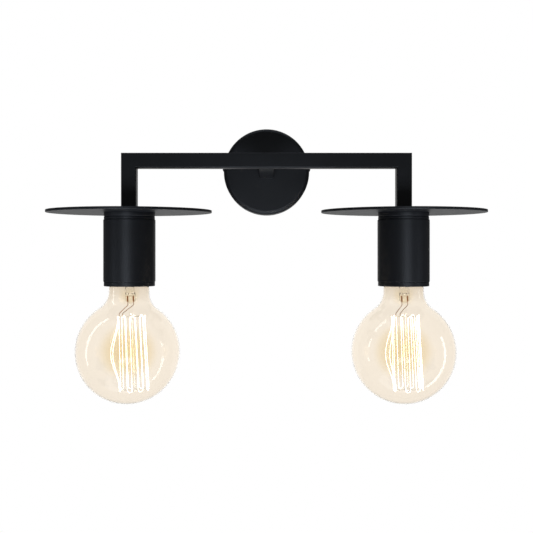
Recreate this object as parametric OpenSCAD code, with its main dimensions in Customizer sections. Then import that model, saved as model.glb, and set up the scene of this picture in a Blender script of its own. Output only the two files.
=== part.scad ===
/* [Layout] */
// Distance between the middles of the two lamps
lamp_spacing = 250; // [180:1:400]
// Distance from the wall to the middle of the crossbar
lamp_reach = 136; // [110:1:200]
// Height from the middle of the crossbar down to the top of a shade
shade_drop = 45; // [30:1:120]

/* [Square tube] */
// Outside width of the square tube
tube_w = 13.7; // [12.5:0.1:15]
// Wall of the square tube
tube_wall = 1.2; // [0.8:0.1:1.4]
// Outside radius of the tube's long edges
tube_edge_r = 1.2; // [0.5:0.1:2.5]
// Length of the threaded inserts welded into the tube ends
insert_len = 12; // [8:1:20]

/* [Canopy] */
// Diameter of the round wall cover
canopy_d = 88.4; // [80:0.2:110]
// Depth of the cover, from the wall to its front face
canopy_depth = 27.4; // [27:0.2:40]
// Sheet thickness of the cover
canopy_wall = 1.2; // [0.8:0.1:1.6]
// Radius of the rounded front edge
canopy_edge_r = 4; // [2:0.5:8]

/* [Wall bracket] */
// Height of the bracket's strap
strap_h = 22; // [18:1:28]
// Sheet thickness of the bracket
strap_t = 2; // [1.5:0.1:2.5]
// Height of the bent tabs
tab_h = 12; // [8:1:14]
// How far the tabs reach from the wall
tab_len = 19; // [17:1:22]
// Distance between the middles of the two wall screw slots
slot_spacing = 58; // [54:1:62]
// Length of a wall screw slot
slot_len = 9; // [6:0.5:10]
// Width of a wall screw slot
slot_w = 4.5; // [3.5:0.1:5.5]
// Height of the side screws above the middle of the cover
side_screw_rise = 3.5; // [0:0.5:4]
// Distance of the side screws from the wall
side_screw_y = 13; // [11:0.5:14]
// Thread diameter of the side screws
side_screw_d = 3; // [2.5:0.5:4]
// Head diameter of the side screws
side_head_d = 6; // [5.5:0.5:8]
// Head height of the side screws
side_head_h = 1.6; // [0.8:0.1:2.5]
// Length of the side screws under the head
side_screw_len = 8; // [6:0.5:10]

/* [Threaded nipples] */
// Thread diameter of the hollow nipples
nipple_d = 8; // [8:0.1:9]
// Bore of the hollow nipples
nipple_bore = 6; // [5.8:0.1:7]
// Width of the hexagon nuts across their flats
nut_flats = 12; // [11:0.5:14]
// Height of the hexagon nuts
nut_h = 3; // [2:0.5:4]
// Outside diameter of the washers
washer_d = 16; // [12:0.5:18]
// Thickness of the washers
washer_t = 0.8; // [0.5:0.1:1.2]

/* [Shade] */
// Diameter of a shade
shade_d = 150; // [100:1:178]
// Thickness of a shade
shade_t = 2.3; // [1:0.1:4]

/* [Lamp cup] */
// Diameter of the cup's sleeve
cup_d = 47.2; // [46:0.2:56]
// Sheet thickness of the sleeve and the cap's spigot
cup_wall = 1.2; // [0.8:0.1:1.3]
// How far the upper collar stands back from the sleeve's side
collar_step = 0.4; // [0.1:0.1:1.5]
// Height of the upper collar
collar_h = 3.6; // [3.2:0.1:8]
// How far the lock ring stands back from the sleeve's side
ring_step = 0.5; // [0.1:0.1:1.5]
// Height of the lock ring
ring_h = 2.6; // [1.5:0.1:5]
// Height of the sleeve, down to the lip
sleeve_h = 56.6; // [50:0.2:80]
// Height of the lip at the sleeve's mouth
lip_h = 4; // [2:0.5:8]
// How far the lip stands back from the sleeve's side
lip_step = 0.45; // [0.2:0.05:0.8]
// Depth of the thread between cap and sleeve
cup_thread_h = 8; // [5:1:12]

/* [Lampholder] */
// Height from the nut down to the lampholder's neck
holder_gap = 2.5; // [0.5:0.1:8]
// Height of the lampholder's threaded neck
holder_neck_h = 6; // [5:0.5:10]
// Height of the lampholder's dome
dome_h = 9; // [8:0.5:14]
// Length of the lampholder's skirt
skirt_h = 37.5; // [36:0.5:40]

/* [Bulb] */
// Diameter of the glass globe
globe_d = 95; // [80:1:125]
// Diameter of the glass neck
neck_d = 36.8; // [32:0.2:40]
// Length of the straight stretch of the neck
neck_straight = 2.6; // [0.6:0.2:10]
// Radius of the hollow curve between neck and globe
neck_fillet_r = 18; // [10:1:24]
// Thickness of the glass
glass_t = 0.8; // [0.5:0.1:1.2]
// Skew of the left bulb's glass on its cap, in degrees
glass_skew_left = 1.4; // [0:0.1:1.5]
// Skew of the right bulb's glass on its cap, in degrees
glass_skew_right = 0; // [0:0.1:1.5]
// Diameter of the bulb's screw cap
cap_d = 26.3; // [26:0.1:26.5]
// Length of the cap, from the eyelet to its rim
cap_len = 27; // [26:0.5:28]

/* [Filament] */
// Strands of the filament, up and down (an even number)
strands = 16; // [10:2:20]
// Height from the top of the cage up to the glass press
cage_drop = 12.4; // [8:0.2:20]
// Height of the gap between the cage and the end of the globe
cage_gap = 12; // [8:0.5:16]
// Diameter of the cage at its top
cage_top_d = 24.8; // [18:0.2:30]
// Diameter of the cage at its bottom
cage_bottom_d = 27; // [18:0.2:32]
// Diameter of the coiled filament wire
filament_d = 0.7; // [0.4:0.1:1]
// Lean of the glass mount inside the globe, in degrees
mount_lean = 2.4; // [0:0.1:2.8]
// How far the slackest strand bows outwards
slack_bow = 7; // [0:0.5:8]

/* [Wiring] */
// Outside diameter of a wire
wire_d = 2; // [1.6:0.1:2]
// Distance between the middles of two wires that lie side by side
wire_pitch = 2.4; // [2.2:0.1:2.4]
// Distance between two poles of the terminal block
pole_pitch = 9; // [8.5:0.1:9]

/* [Hidden] */
$fn = 64;

// Cuts run this far past the faces that they pass through
over = 1;
// Play between a thread and its nut or tapped hole, on the radius
thread_play = 0.05;
// Play between pieces that slip over or beside each other
slip = 0.3;
// Gap between the bulb's eyelet and the spring contact
contact_gap = 0.2;
// Directions of the two lamps along the crossbar
left = -1;
right = 1;

// Colours
black_paint = [0.10, 0.10, 0.11];
zinc = [0.72, 0.73, 0.75];
brass = [0.80, 0.65, 0.35];
ceramic = [0.92, 0.91, 0.88];
bakelite = [0.12, 0.11, 0.11];
amber = [0.95, 0.82, 0.58, 0.35];
clear = [0.90, 0.92, 0.92, 0.35];
hot = [1.00, 0.86, 0.55];

// The lamp's frame: the wall is the plane y = 0, the room is at negative y,
// and the middle of the cover is on the y axis
lamp_x = lamp_spacing / 2;
bar_y = -lamp_reach;
bar_back_y = bar_y + tube_w / 2;
canopy_r = canopy_d / 2;
canopy_y = -canopy_depth;
canopy_in_y = canopy_y + canopy_wall;
tube_bore = tube_w - 2 * tube_wall;

// Nipples, washers and nuts
nipple_r = nipple_d / 2;
thread_hole_r = nipple_r + thread_play;
clear_hole_r = nipple_r + slip;
nipple_show = 1.4;
stem_nut_end_y = canopy_in_y + washer_t + nut_h;
stem_nipple_end_y = stem_nut_end_y + nipple_show;

// Heights of the lamp's pieces, from the shade down
shade_z = -shade_drop;
cup_z = shade_z - shade_t;
collar_end_z = cup_z - collar_h;
ring_end_z = collar_end_z - ring_h;
sleeve_end_z = ring_end_z - sleeve_h;
mouth_z = sleeve_end_z - lip_h;
cap_plate_t = 2.2;
cup_thread_step = 1;
lamp_nut_end_z = cup_z - cap_plate_t - washer_t - nut_h;

// The lampholder is stacked downwards from the nut to the face of its ceramic insert
boss_h = 2;
flange_t = 2;
insert_h = 8;
skirt_rise = 9;
dome_step = 1;
holder_r = 19.4;
holder_bore_r = 17.6;
holder_waist_r = 15.4;
holder_neck_z = lamp_nut_end_z - holder_gap - holder_neck_h;
holder_z = holder_neck_z - dome_h - dome_step - skirt_rise;
shell_r = cap_d / 2 + slip;
shell_t = 0.4;
shell_h = 28;
lamp_nipple_end_z = holder_neck_z + 0.5;
terminal_x = 8;
terminal_w = 4.4;
terminal_depth = 6;
terminal_h = 4;
terminal_top_z = holder_z + insert_h + terminal_h;
rivet_y = 7;
rivet_r = 1.5;

// The bulb hangs from its eyelet
eyelet_z = holder_z - 1.6;
cap_end_z = eyelet_z - cap_len;
cap_wall = 0.3;
globe_r = globe_d / 2;
neck_r = neck_d / 2;
neck_fillet_z = sqrt(pow(globe_r + neck_fillet_r, 2) - pow(neck_r + neck_fillet_r, 2));
neck_end_z = eyelet_z - 20;
shoulder_z = eyelet_z - 34.4;
shoulder_r = 6;
globe_z = shoulder_z - neck_straight - neck_fillet_z;

// Bracket
block_w = 3 * pole_pitch + 2;
tab_t = strap_t;
canopy_in_r = canopy_r - canopy_wall;
tab_reach_z = side_screw_rise + tab_h / 2;
tab_x = sqrt(canopy_in_r * canopy_in_r - tab_reach_z * tab_reach_z) - slip;
strap_bend_r = 1;
screw_seat_x = sqrt(canopy_r * canopy_r - pow(side_head_d / 2 - side_screw_rise, 2));
lug_d = 8;
lug_t = 0.8;
earth_x = block_w / 2 + lug_d / 2 + 1;
earth_z = -4;
earth_head_d = 6.5;

// Terminal block
block_h = 14;
block_t = 12;
block_y = -strap_t - block_t / 2;
pole_bore = 5.6;
pole_in_r = (wire_pitch + wire_d) / 2 + 0.1;
clamp_d = 2.6;
clamp_z = block_h / 4;
block_screw_r = 1.25;
wire_end_z = clamp_z - 2;

// Wire routes. Wires come out of the stem's nipple in two layers and turn up to the block
live_y = stem_nipple_end_y + 2.8;
neutral_y = live_y + 2.3;
half_pitch = wire_pitch / 2;
turn_step = wire_pitch * tan(22.5);
climb_z = 7.5;
loop_z = climb_z + turn_step + pole_pitch + 6;

// Filament cage
strand_turn = 360 / (strands + 1);
first_turn = 239.5;
hairpin_r = 2.2;
rod_r = 1.4;
button_r = 2.4;
button_h = 2;
press_z = eyelet_z - 46.5;
cage_end_z = globe_z - globe_r + cage_gap;
cage_z = press_z - cage_drop;
spoke_r = 0.2;

// A unit vector along v
function unit(v) = v / norm(v);

// Points of an arc round c, from angle a to angle b in n steps
function arc(c, r, a, b, n) =
    [for (i = [0 : n]) c + r * [cos(a + (b - a) * i / n), sin(a + (b - a) * i / n)]];

// A route with each of its inner corners rounded: the curve starts up to r before the corner
function bend(a, p, b, r) =
    let (
        start = p + unit(a - p) * min(r, norm(a - p) / 2),
        end = p + unit(b - p) * min(r, norm(b - p) / 2)
    )
    [for (t = [0 : 0.25 : 1]) (1 - t) * (1 - t) * start + 2 * t * (1 - t) * p + t * t * end];

function rounded_route(p, r) = concat(
    [p[0]],
    [for (i = [1 : len(p) - 2]) each bend(p[i - 1], p[i], p[i + 1], r)],
    [p[len(p) - 1]]
);

// Direction of a route at each of its points
function headings(p) =
    [for (i = [0 : len(p) - 1]) unit(p[min(i + 1, len(p) - 1)] - p[max(i - 1, 0)])];

// A side direction carried along the route without twist
function carried(t, n, i = 0) =
    i == len(t) ? [] :
    let (m = unit(n - (n * t[i]) * t[i]))
    concat([m], carried(t, m, i + 1));

// Solid round tube along a list of points, with a side direction given at each of them
module tube_along(p, side, r, sides) {
    t = headings(p);
    rings = [
        for (i = [0 : len(p) - 1])
        let (n = unit(side[i] - (side[i] * t[i]) * t[i]), b = cross(t[i], n))
        for (j = [0 : sides - 1])
        p[i] + r * (cos(360 * j / sides) * n + sin(360 * j / sides) * b)
    ];
    last = (len(p) - 1) * sides;
    walls = [
        for (i = [0 : len(p) - 2])
        for (j = [0 : sides - 1])
        let (a = i * sides + j, b = i * sides + (j + 1) % sides)
        each [[a, a + sides, b], [b, a + sides, b + sides]]
    ];
    ends = [
        for (j = [1 : sides - 2])
        each [[0, j, j + 1], [last, last + j + 1, last + j]]
    ];
    polyhedron(points = rings, faces = concat(walls, ends));
}

// Wire along a route given by its corners
module wire(corners, bend_r, r = wire_d / 2, sides = 8) {
    p = rounded_route(corners, bend_r);
    first = headings(p)[0];
    start = abs(first[0]) < 0.5 ? [1, 0, 0] : [0, 0, 1];
    tube_along(p, carried(headings(p), start), r, sides);
}

// Section of the square tube, or of anything square with rounded corners
module rounded_square(w, r) {
    c = w / 2 - r;
    polygon([
        for (q = [0 : 3])
        each arc([c * (q == 0 || q == 3 ? 1 : -1), c * (q < 2 ? 1 : -1)], r, 90 * q, 90 * q + 90, 6)
    ]);
}

// Length of square tube standing on the xy plane
module square_tube(length) {
    difference() {
        linear_extrude(length)
            rounded_square(tube_w, tube_edge_r);
        translate([0, 0, -over])
            linear_extrude(length + 2 * over)
                rounded_square(tube_bore, max(tube_edge_r - tube_wall, 0.2));
    }
}

// Slot through the strap, lying along x
module slot(length, width) {
    straight = length - width;
    rotate([90, 0, 0]) {
        cube([straight, width, 2 * strap_t + 2 * over], center = true);
        for (side = [left, right])
            translate([side * straight / 2, 0, 0])
                cylinder(d = width, h = 2 * strap_t + 2 * over, center = true);
    }
}

// Turns a shape that stands along z so that it points from the wall into the room
module towards_room(y) {
    translate([0, y, 0])
        rotate([90, 0, 0])
            children();
}

// Drawn cup: open at z = 0, closed at z = depth, with a rounded outer edge there
module drawn_cup(r, depth, wall, edge_r) {
    in_r = r - wall;
    in_edge_r = max(edge_r - wall, 0.2);
    rotate_extrude($fn = 128)
        polygon(concat(
            [[in_r, 0], [r, 0]],
            arc([r - edge_r, depth - edge_r], edge_r, 0, 90, 10),
            [[0, depth], [0, depth - wall]],
            arc([in_r - in_edge_r, depth - wall - in_edge_r], in_edge_r, 90, 0, 10)
        ));
}

module canopy() {
    color(black_paint)
    difference() {
        towards_room(0)
            drawn_cup(canopy_r, canopy_depth, canopy_wall, canopy_edge_r);
        towards_room(canopy_in_y + over)
            cylinder(r = clear_hole_r, h = canopy_wall + 2 * over);
        for (side = [left, right])
            translate([side * canopy_r, -side_screw_y, side_screw_rise])
                rotate([0, 90, 0])
                    cylinder(d = side_screw_d + slip, h = 4 * canopy_wall, center = true);
    }
}

// Outline of the strap and its bent tabs, seen from above
module bracket_outline() {
    outer_r = strap_bend_r + strap_t;
    polygon(concat(
        [[-tab_x, -tab_len], [-tab_x + tab_t, -tab_len]],
        arc([-tab_x + outer_r, -outer_r], strap_bend_r, 180, 90, 6),
        arc([tab_x - outer_r, -outer_r], strap_bend_r, 90, 0, 6),
        [[tab_x - tab_t, -tab_len], [tab_x, -tab_len]],
        arc([tab_x - outer_r, -outer_r], outer_r, 0, 90, 6),
        arc([-tab_x + outer_r, -outer_r], outer_r, 90, 180, 6)
    ));
}

module wall_bracket() {
    neck_x = tab_x - 6;
    color(zinc)
    difference() {
        translate([0, 0, -strap_h / 2])
            linear_extrude(strap_h)
                bracket_outline();
        // The ends are narrowed to the width of the tabs
        for (side = [left, right], end = [-1, 1])
            translate([side * (neck_x + strap_h), 0, side_screw_rise + end * (tab_h + strap_h) / 2])
                cube([2 * strap_h, 4 * tab_len, strap_h], center = true);
        for (side = [left, right]) {
            translate([side * slot_spacing / 2, 0, 0])
                slot(slot_len, slot_w);
            translate([side * tab_x, -side_screw_y, side_screw_rise])
                rotate([0, 90, 0])
                    cylinder(r = side_screw_d / 2 + thread_play, h = 4 * tab_t, center = true);
        }
        translate([earth_x, 0, earth_z])
            rotate([90, 0, 0])
                cylinder(r = 2 + thread_play, h = 4 * strap_t, center = true);
        for (side = [left, right])
            translate([side * pole_pitch / 2, 0, 0])
                rotate([90, 0, 0])
                    cylinder(r = block_screw_r + thread_play, h = 4 * strap_t, center = true);
    }
}

// Screw along z with its head's underside on z = 0 and its shank below
module slotted_screw(d, length, head_d, head_h) {
    head_r = head_d / 2;
    dome_r = (head_r * head_r + head_h * head_h) / (2 * head_h);
    half = asin(head_r / dome_r);
    difference() {
        union() {
            rotate_extrude()
                polygon(concat([[0, 0]], arc([0, head_h - dome_r], dome_r, 90 - half, 90, 8)));
            translate([0, 0, -length])
                cylinder(d = d, h = length + head_h / 2);
        }
        translate([0, 0, head_h])
            cube([head_d + over, 0.8, head_h], center = true);
    }
}

module canopy_screws() {
    color(black_paint)
    for (side = [left, right])
        translate([side * screw_seat_x, -side_screw_y, side_screw_rise])
            rotate([0, side * 90, 0])
                slotted_screw(side_screw_d, side_screw_len, side_head_d, side_head_h);
}

// Screw with the ring lug of the earth wire under its head
module earth_screw() {
    color(zinc)
    translate([earth_x, -strap_t, earth_z])
        rotate([90, 0, 0]) {
            translate([0, 0, lug_t])
                slotted_screw(4, strap_t + lug_t, earth_head_d, 2);
            difference() {
                union() {
                    cylinder(d = lug_d, h = lug_t);
                    translate([-wire_d / 2, 0, 0])
                        cube([wire_d, lug_d / 2 + 2, lug_t]);
                }
                translate([0, 0, -over])
                    cylinder(r = 2 + thread_play, h = lug_t + 2 * over);
            }
        }
}

module terminal_block() {
    color(ceramic)
    difference() {
        translate([-block_w / 2, -strap_t - block_t, -block_h / 2])
            cube([block_w, block_t, block_h]);
        for (pole = [-1 : 1])
            translate([pole * pole_pitch, block_y, 0]) {
                cylinder(d = pole_bore, h = block_h + 2 * over, center = true);
                for (end = [-1, 1])
                    translate([0, 0, end * clamp_z])
                        rotate([90, 0, 0])
                            cylinder(d = clamp_d + slip, h = block_t / 2 + over);
            }
        // Steps between the poles, with the holes of the two screws that hold the block
        for (side = [left, right])
            translate([side * pole_pitch / 2, -strap_t - block_t, 0]) {
                cube([3.6, 4, block_h + 2 * over], center = true);
                rotate([90, 0, 0])
                    cylinder(r = block_screw_r + thread_play, h = 3 * block_t, center = true);
            }
    }
}

// Brass tubes of the poles and their clamp screws
module pole_tubes() {
    tube_h = block_h - 3;
    color(brass)
    for (pole = [-1 : 1])
        translate([pole * pole_pitch, block_y, 0]) {
            difference() {
                cylinder(r = pole_bore / 2 - thread_play, h = tube_h, center = true);
                cylinder(r = pole_in_r, h = tube_h + 2 * over, center = true);
                for (end = [-1, 1])
                    translate([0, 0, end * clamp_z])
                        rotate([90, 0, 0])
                            cylinder(d = clamp_d + slip, h = pole_bore);
            }
            for (end = [-1, 1])
                translate([0, -wire_d / 2 - 0.1, end * clamp_z])
                    rotate([90, 0, 0])
                        difference() {
                            cylinder(d = clamp_d, h = 4);
                            translate([0, 0, 4])
                                cube([clamp_d + over, 0.5, 1], center = true);
                        }
        }
}

// The two screws that hold the terminal block on the strap
module block_screws() {
    step_y = -strap_t - block_t + 2;
    color(zinc)
    for (side = [left, right])
        translate([side * pole_pitch / 2, step_y, 0])
            rotate([90, 0, 0])
                slotted_screw(2 * block_screw_r, -step_y, 3.2, 1);
}

module stem_tube() {
    color(black_paint)
    towards_room(canopy_y)
        square_tube(lamp_reach - tube_w / 2 - canopy_depth);
}

// Square block with a threaded bore, welded flush into a tube's end
module tube_insert() {
    difference() {
        linear_extrude(insert_len)
            rounded_square(tube_bore - 2 * thread_play, max(tube_edge_r - tube_wall, 0.2));
        translate([0, 0, -over])
            cylinder(r = thread_hole_r, h = insert_len + 2 * over);
    }
}

module stem_insert() {
    color(zinc)
    towards_room(canopy_y)
        tube_insert();
}

module drop_insert(side) {
    color(zinc)
    translate([side * lamp_x, bar_y, shade_z])
        tube_insert();
}

// Hollow threaded nipple from z = 0 to z = length, with chamfered ends
module nipple(length) {
    chamfer = 0.5;
    bore_r = nipple_bore / 2;
    rotate_extrude()
        polygon([
            [bore_r, 0], [nipple_r - chamfer, 0], [nipple_r, chamfer],
            [nipple_r, length - chamfer], [nipple_r - chamfer, length], [bore_r, length]
        ]);
}

module stem_nipple() {
    grip = insert_len - 2;
    color(zinc)
    towards_room(stem_nipple_end_y)
        nipple(stem_nipple_end_y - canopy_y + grip);
}

module lamp_nipple(side) {
    grip = insert_len - 2;
    color(zinc)
    translate([side * lamp_x, bar_y, lamp_nipple_end_z])
        nipple(shade_z + grip - lamp_nipple_end_z);
}

module washer() {
    difference() {
        cylinder(d = washer_d, h = washer_t);
        translate([0, 0, -over])
            cylinder(r = clear_hole_r, h = washer_t + 2 * over);
    }
}

// Hexagon nut with chamfered corners
module hexagon_nut() {
    across = nut_flats / cos(30);
    difference() {
        intersection() {
            cylinder(d = across, h = nut_h, $fn = 6);
            rotate_extrude()
                polygon([
                    [0, 0], [nut_flats / 2, 0], [across / 2, 0.5],
                    [across / 2, nut_h - 0.5], [nut_flats / 2, nut_h], [0, nut_h]
                ]);
        }
        translate([0, 0, -over])
            cylinder(r = thread_hole_r, h = nut_h + 2 * over);
    }
}

module stem_washer() {
    color(zinc)
    towards_room(canopy_in_y + washer_t)
        washer();
}

module stem_nut() {
    color(zinc)
    towards_room(stem_nut_end_y)
        hexagon_nut();
}

module lamp_washers() {
    color(zinc)
    for (side = [left, right])
        translate([side * lamp_x, bar_y, cup_z - cap_plate_t - washer_t])
            washer();
}

module lamp_nuts() {
    color(zinc)
    for (side = [left, right])
        translate([side * lamp_x, bar_y, lamp_nut_end_z])
            hexagon_nut();
}

module crossbar() {
    length = lamp_spacing + tube_w;
    color(black_paint)
    difference() {
        translate([-length / 2, bar_y, 0])
            rotate([0, 90, 0])
                square_tube(length);
        for (side = [left, right])
            translate([side * lamp_x, bar_y, 0])
                rotate([0, side * 45, 0])
                    translate([side * 2 * tube_w, 0, 0])
                        cube([4 * tube_w, 2 * tube_w, 8 * tube_w], center = true);
        // The wires pass from the stem into the crossbar here
        towards_room(bar_back_y + over)
            cylinder(r = clear_hole_r, h = tube_w / 2);
    }
}

module drop_tube(side) {
    color(black_paint)
    difference() {
        translate([side * lamp_x, bar_y, shade_z])
            square_tube(shade_drop + tube_w / 2);
        translate([side * lamp_x, bar_y, 0])
            rotate([0, side * 45, 0])
                translate([-side * 2 * tube_w, 0, 0])
                    cube([4 * tube_w, 2 * tube_w, 8 * tube_w], center = true);
    }
}

module shade(side) {
    edge = 0.4;
    shade_r = shade_d / 2;
    color(black_paint)
    translate([side * lamp_x, bar_y, cup_z])
        rotate_extrude($fn = 180)
            polygon(concat(
                [[clear_hole_r, 0]],
                arc([shade_r - edge, edge], edge, -90, 0, 3),
                arc([shade_r - edge, shade_t - edge], edge, 0, 90, 3),
                [[clear_hole_r, shade_t]]
            ));
}

// Upper collar of the cup with its threaded spigot
module cup_cap(side) {
    collar_r = cup_d / 2 - collar_step;
    edge = 1;
    spigot_r = cup_d / 2 - cup_wall - cup_thread_step;
    spigot_h = collar_h + ring_h + cup_thread_h;
    color(black_paint)
    translate([side * lamp_x, bar_y, cup_z])
        rotate_extrude($fn = 96)
            polygon(concat(
                [[clear_hole_r, 0], [collar_r - 0.3, 0], [collar_r, -0.3]],
                arc([collar_r - edge, -collar_h + edge], edge, 0, -90, 6),
                [
                    [spigot_r, -collar_h], [spigot_r, -spigot_h], [spigot_r - cup_wall, -spigot_h],
                    [spigot_r - cup_wall, -cap_plate_t], [clear_hole_r, -cap_plate_t]
                ]
            ));
}

module lock_ring(side) {
    edge = 0.6;
    ring_r = cup_d / 2 - ring_step;
    bore_r = cup_d / 2 - cup_wall - cup_thread_step + thread_play;
    color(black_paint)
    translate([side * lamp_x, bar_y, ring_end_z])
        rotate_extrude($fn = 96)
            polygon(concat(
                [[bore_r, 0]],
                arc([ring_r - edge, edge], edge, -90, 0, 4),
                arc([ring_r - edge, ring_h - edge], edge, 0, 90, 4),
                [[bore_r, ring_h]]
            ));
}

// Long sleeve of the cup: a threaded stretch at its top and a stepped lip at its mouth
module cup_sleeve(side) {
    sleeve_r = cup_d / 2;
    bore_r = sleeve_r - cup_wall;
    thread_r = bore_r - cup_thread_step + thread_play;
    lip_r = sleeve_r - lip_step;
    edge = 0.6;
    color(black_paint)
    translate([side * lamp_x, bar_y, mouth_z])
        rotate_extrude($fn = 96)
            polygon(concat(
                [[bore_r - lip_step, 0]],
                arc([lip_r - edge, edge], edge, -90, 0, 4),
                [[lip_r, lip_h - 0.3], [lip_r - 0.3, lip_h]],
                arc([sleeve_r - edge, lip_h + edge], edge, -90, 0, 4),
                arc([sleeve_r - edge, lip_h + sleeve_h - edge], edge, 0, 90, 4),
                [
                    [thread_r, lip_h + sleeve_h], [thread_r, lip_h + sleeve_h - cup_thread_h - 1],
                    [bore_r, lip_h + sleeve_h - cup_thread_h - 1 - cup_thread_step], [bore_r, lip_h],
                    [bore_r - lip_step, lip_h - lip_step]
                ]
            ));
}

// Dome of the lampholder: threaded neck, round shoulder and threaded spigot
module holder_dome(side) {
    neck_r = nipple_r + 2.5;
    wall = 1.8;
    spigot_r = holder_bore_r - slip;
    spigot_in_r = spigot_r - wall;
    base = skirt_rise;
    top = base + dome_step + dome_h;
    flange_top = boss_h + flange_t;
    span = holder_r - neck_r;
    in_span = spigot_in_r - thread_hole_r;
    color(bakelite)
    translate([side * lamp_x, bar_y, holder_z])
        rotate_extrude($fn = 96)
            polygon(concat(
                [[spigot_in_r, flange_top], [spigot_r, flange_top], [spigot_r, base], [holder_r, base]],
                [for (t = [0 : 10 : 90]) [neck_r + span * cos(t), base + dome_step + dome_h * sin(t)]],
                [[neck_r, top + holder_neck_h], [thread_hole_r, top + holder_neck_h]],
                [for (t = [90 : -10 : 0])
                    [thread_hole_r + in_span * cos(t), base + (dome_h + dome_step - wall) * sin(t)]]
            ));
}

// Skirt of the lampholder: screws on the dome's spigot and clamps the insert
module holder_skirt(side) {
    lip = 2;
    foot = -skirt_h + skirt_rise;
    color(bakelite)
    translate([side * lamp_x, bar_y, holder_z])
        rotate_extrude($fn = 96)
            polygon([
                [shell_r + shell_t + 0.2, foot], [holder_r - 0.8, foot], [holder_r, foot + 0.8],
                [holder_r, skirt_rise], [holder_bore_r, skirt_rise], [holder_bore_r, boss_h],
                [holder_waist_r, boss_h], [holder_waist_r, foot + lip],
                [shell_r + shell_t + 0.2, foot + lip]
            ]);
}

module holder_insert(side) {
    boss_r = shell_r - 0.1;
    flange_r = holder_bore_r - slip;
    color(ceramic)
    translate([side * lamp_x, bar_y, holder_z])
        difference() {
            union() {
                cylinder(r = boss_r, h = boss_h);
                translate([0, 0, boss_h])
                    cylinder(r = flange_r, h = flange_t);
                translate([0, 0, boss_h + flange_t])
                    cylinder(r = 12.5, h = insert_h - boss_h - flange_t);
            }
            // Hole of the centre contact's rivet, sunk on the wiring side
            translate([0, rivet_y, -over])
                cylinder(r = rivet_r + thread_play, h = insert_h + 2 * over);
            translate([0, rivet_y, insert_h - 2])
                cylinder(r = 2 * rivet_r, h = 2 + over);
        }
}

module screw_shell(side) {
    top = boss_h;
    color(brass)
    translate([side * lamp_x, bar_y, holder_z + top - shell_h])
        difference() {
            cylinder(r = shell_r + shell_t, h = shell_h);
            translate([0, 0, -over])
                cylinder(r = shell_r, h = shell_h + 2 * over);
        }
}

// Spring tongue under the insert: riveted beside the middle, bent so that its tip meets the eyelet
module centre_contact(side) {
    strip_t = 0.4;
    strip_w = 6;
    tip = eyelet_z + contact_gap - holder_z;
    color(brass)
    translate([side * lamp_x, bar_y, holder_z]) {
        rotate([90, 0, 90])
            translate([0, 0, -strip_w / 2])
                linear_extrude(strip_w)
                    polygon([
                        [rivet_y + 3, 0], [rivet_y + 3, -strip_t], [rivet_y - 3, -strip_t],
                        [1.8, tip], [-1.8, tip], [-3.5, tip + 0.5],
                        [-3.5, tip + 0.5 + strip_t], [-1.7, tip + strip_t], [1.7, tip + strip_t],
                        [rivet_y - 3.1, 0]
                    ]);
        translate([0, rivet_y, 0])
            cylinder(r = rivet_r, h = insert_h - 1.4);
    }
}

// Two brass terminals on each insert, with their clamp screws
module terminals() {
    color(brass)
    for (side = [left, right], pole = [-1, 1])
        translate([side * lamp_x + pole * terminal_x, bar_y, holder_z + insert_h]) {
            translate([-terminal_w / 2, -terminal_depth / 2, 0])
                cube([terminal_w, terminal_depth, terminal_h]);
            translate([pole * terminal_w / 2, 0, terminal_h / 2])
                rotate([0, pole * 90, 0])
                    cylinder(d = 3.4, h = 1.2);
        }
}

// Corners of a lamp wire, from the lampholder to the terminal block.
// Seen from the room, a live wire is the upper one in the crossbar and the outer one in the drop
function lamp_route(side, live) =
    let (
        up = live ? 1 : -1,
        pole = side * up,
        x = side * lamp_x + pole * half_pitch,
        z = up * half_pitch,
        stem_x = side * half_pitch,
        layer_y = live ? live_y : neutral_y,
        block_x = -up * pole_pitch + stem_x,
        late = side == -up ? 0 : turn_step
    )
    [
        [side * lamp_x + pole * terminal_x, bar_y, terminal_top_z],
        [side * lamp_x + pole * terminal_x, bar_y, terminal_top_z + 2.5],
        [x, bar_y, lamp_nipple_end_z - 2.2],
        [x, bar_y, z],
        [stem_x, bar_y, z],
        [stem_x, layer_y, z],
        [stem_x, layer_y, climb_z + late],
        [block_x, layer_y, climb_z + late + pole_pitch],
        [block_x, layer_y, loop_z],
        [block_x, block_y, loop_z],
        [block_x, block_y, wire_end_z]
    ];

module live_wires() {
    color([0.36, 0.20, 0.12])
    for (side = [left, right])
        wire(lamp_route(side, true), 3);
}

module neutral_wires() {
    color([0.10, 0.25, 0.60])
    for (side = [left, right])
        wire(lamp_route(side, false), 3);
}

// From the middle pole, behind the other wires, down to the ring lug
module earth_wire() {
    back_y = -strap_t - lug_t - wire_d / 2 - thread_play;
    color([0.35, 0.55, 0.15])
    wire([
        [0, block_y, wire_end_z],
        [0, block_y, block_h / 2 + 3],
        [0, back_y, block_h / 2 + 6],
        [earth_x - 2, back_y, block_h / 2 + 6],
        [earth_x, back_y, block_h / 2 + 3],
        [earth_x, back_y, earth_z + lug_d / 2 + 0.5]
    ], 3);
}

// Screw cap of the bulb: a thin brass shell that narrows at the insulator
module bulb_cap(side) {
    cap_r = cap_d / 2;
    color(brass)
    translate([side * lamp_x, bar_y, cap_end_z])
        rotate_extrude($fn = 96)
            polygon([
                [cap_r - cap_wall, 0], [cap_r + 0.2, 0], [cap_r + 0.2, 0.6], [cap_r, 1.2],
                [cap_r, cap_len - 7], [cap_r - 1.6, cap_len - 5.4],
                [cap_r - 1.6 - cap_wall, cap_len - 5.4], [cap_r - 1.6 - cap_wall, cap_len - 5.8],
                [cap_r - cap_wall, cap_len - 7.4]
            ]);
}

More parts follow.
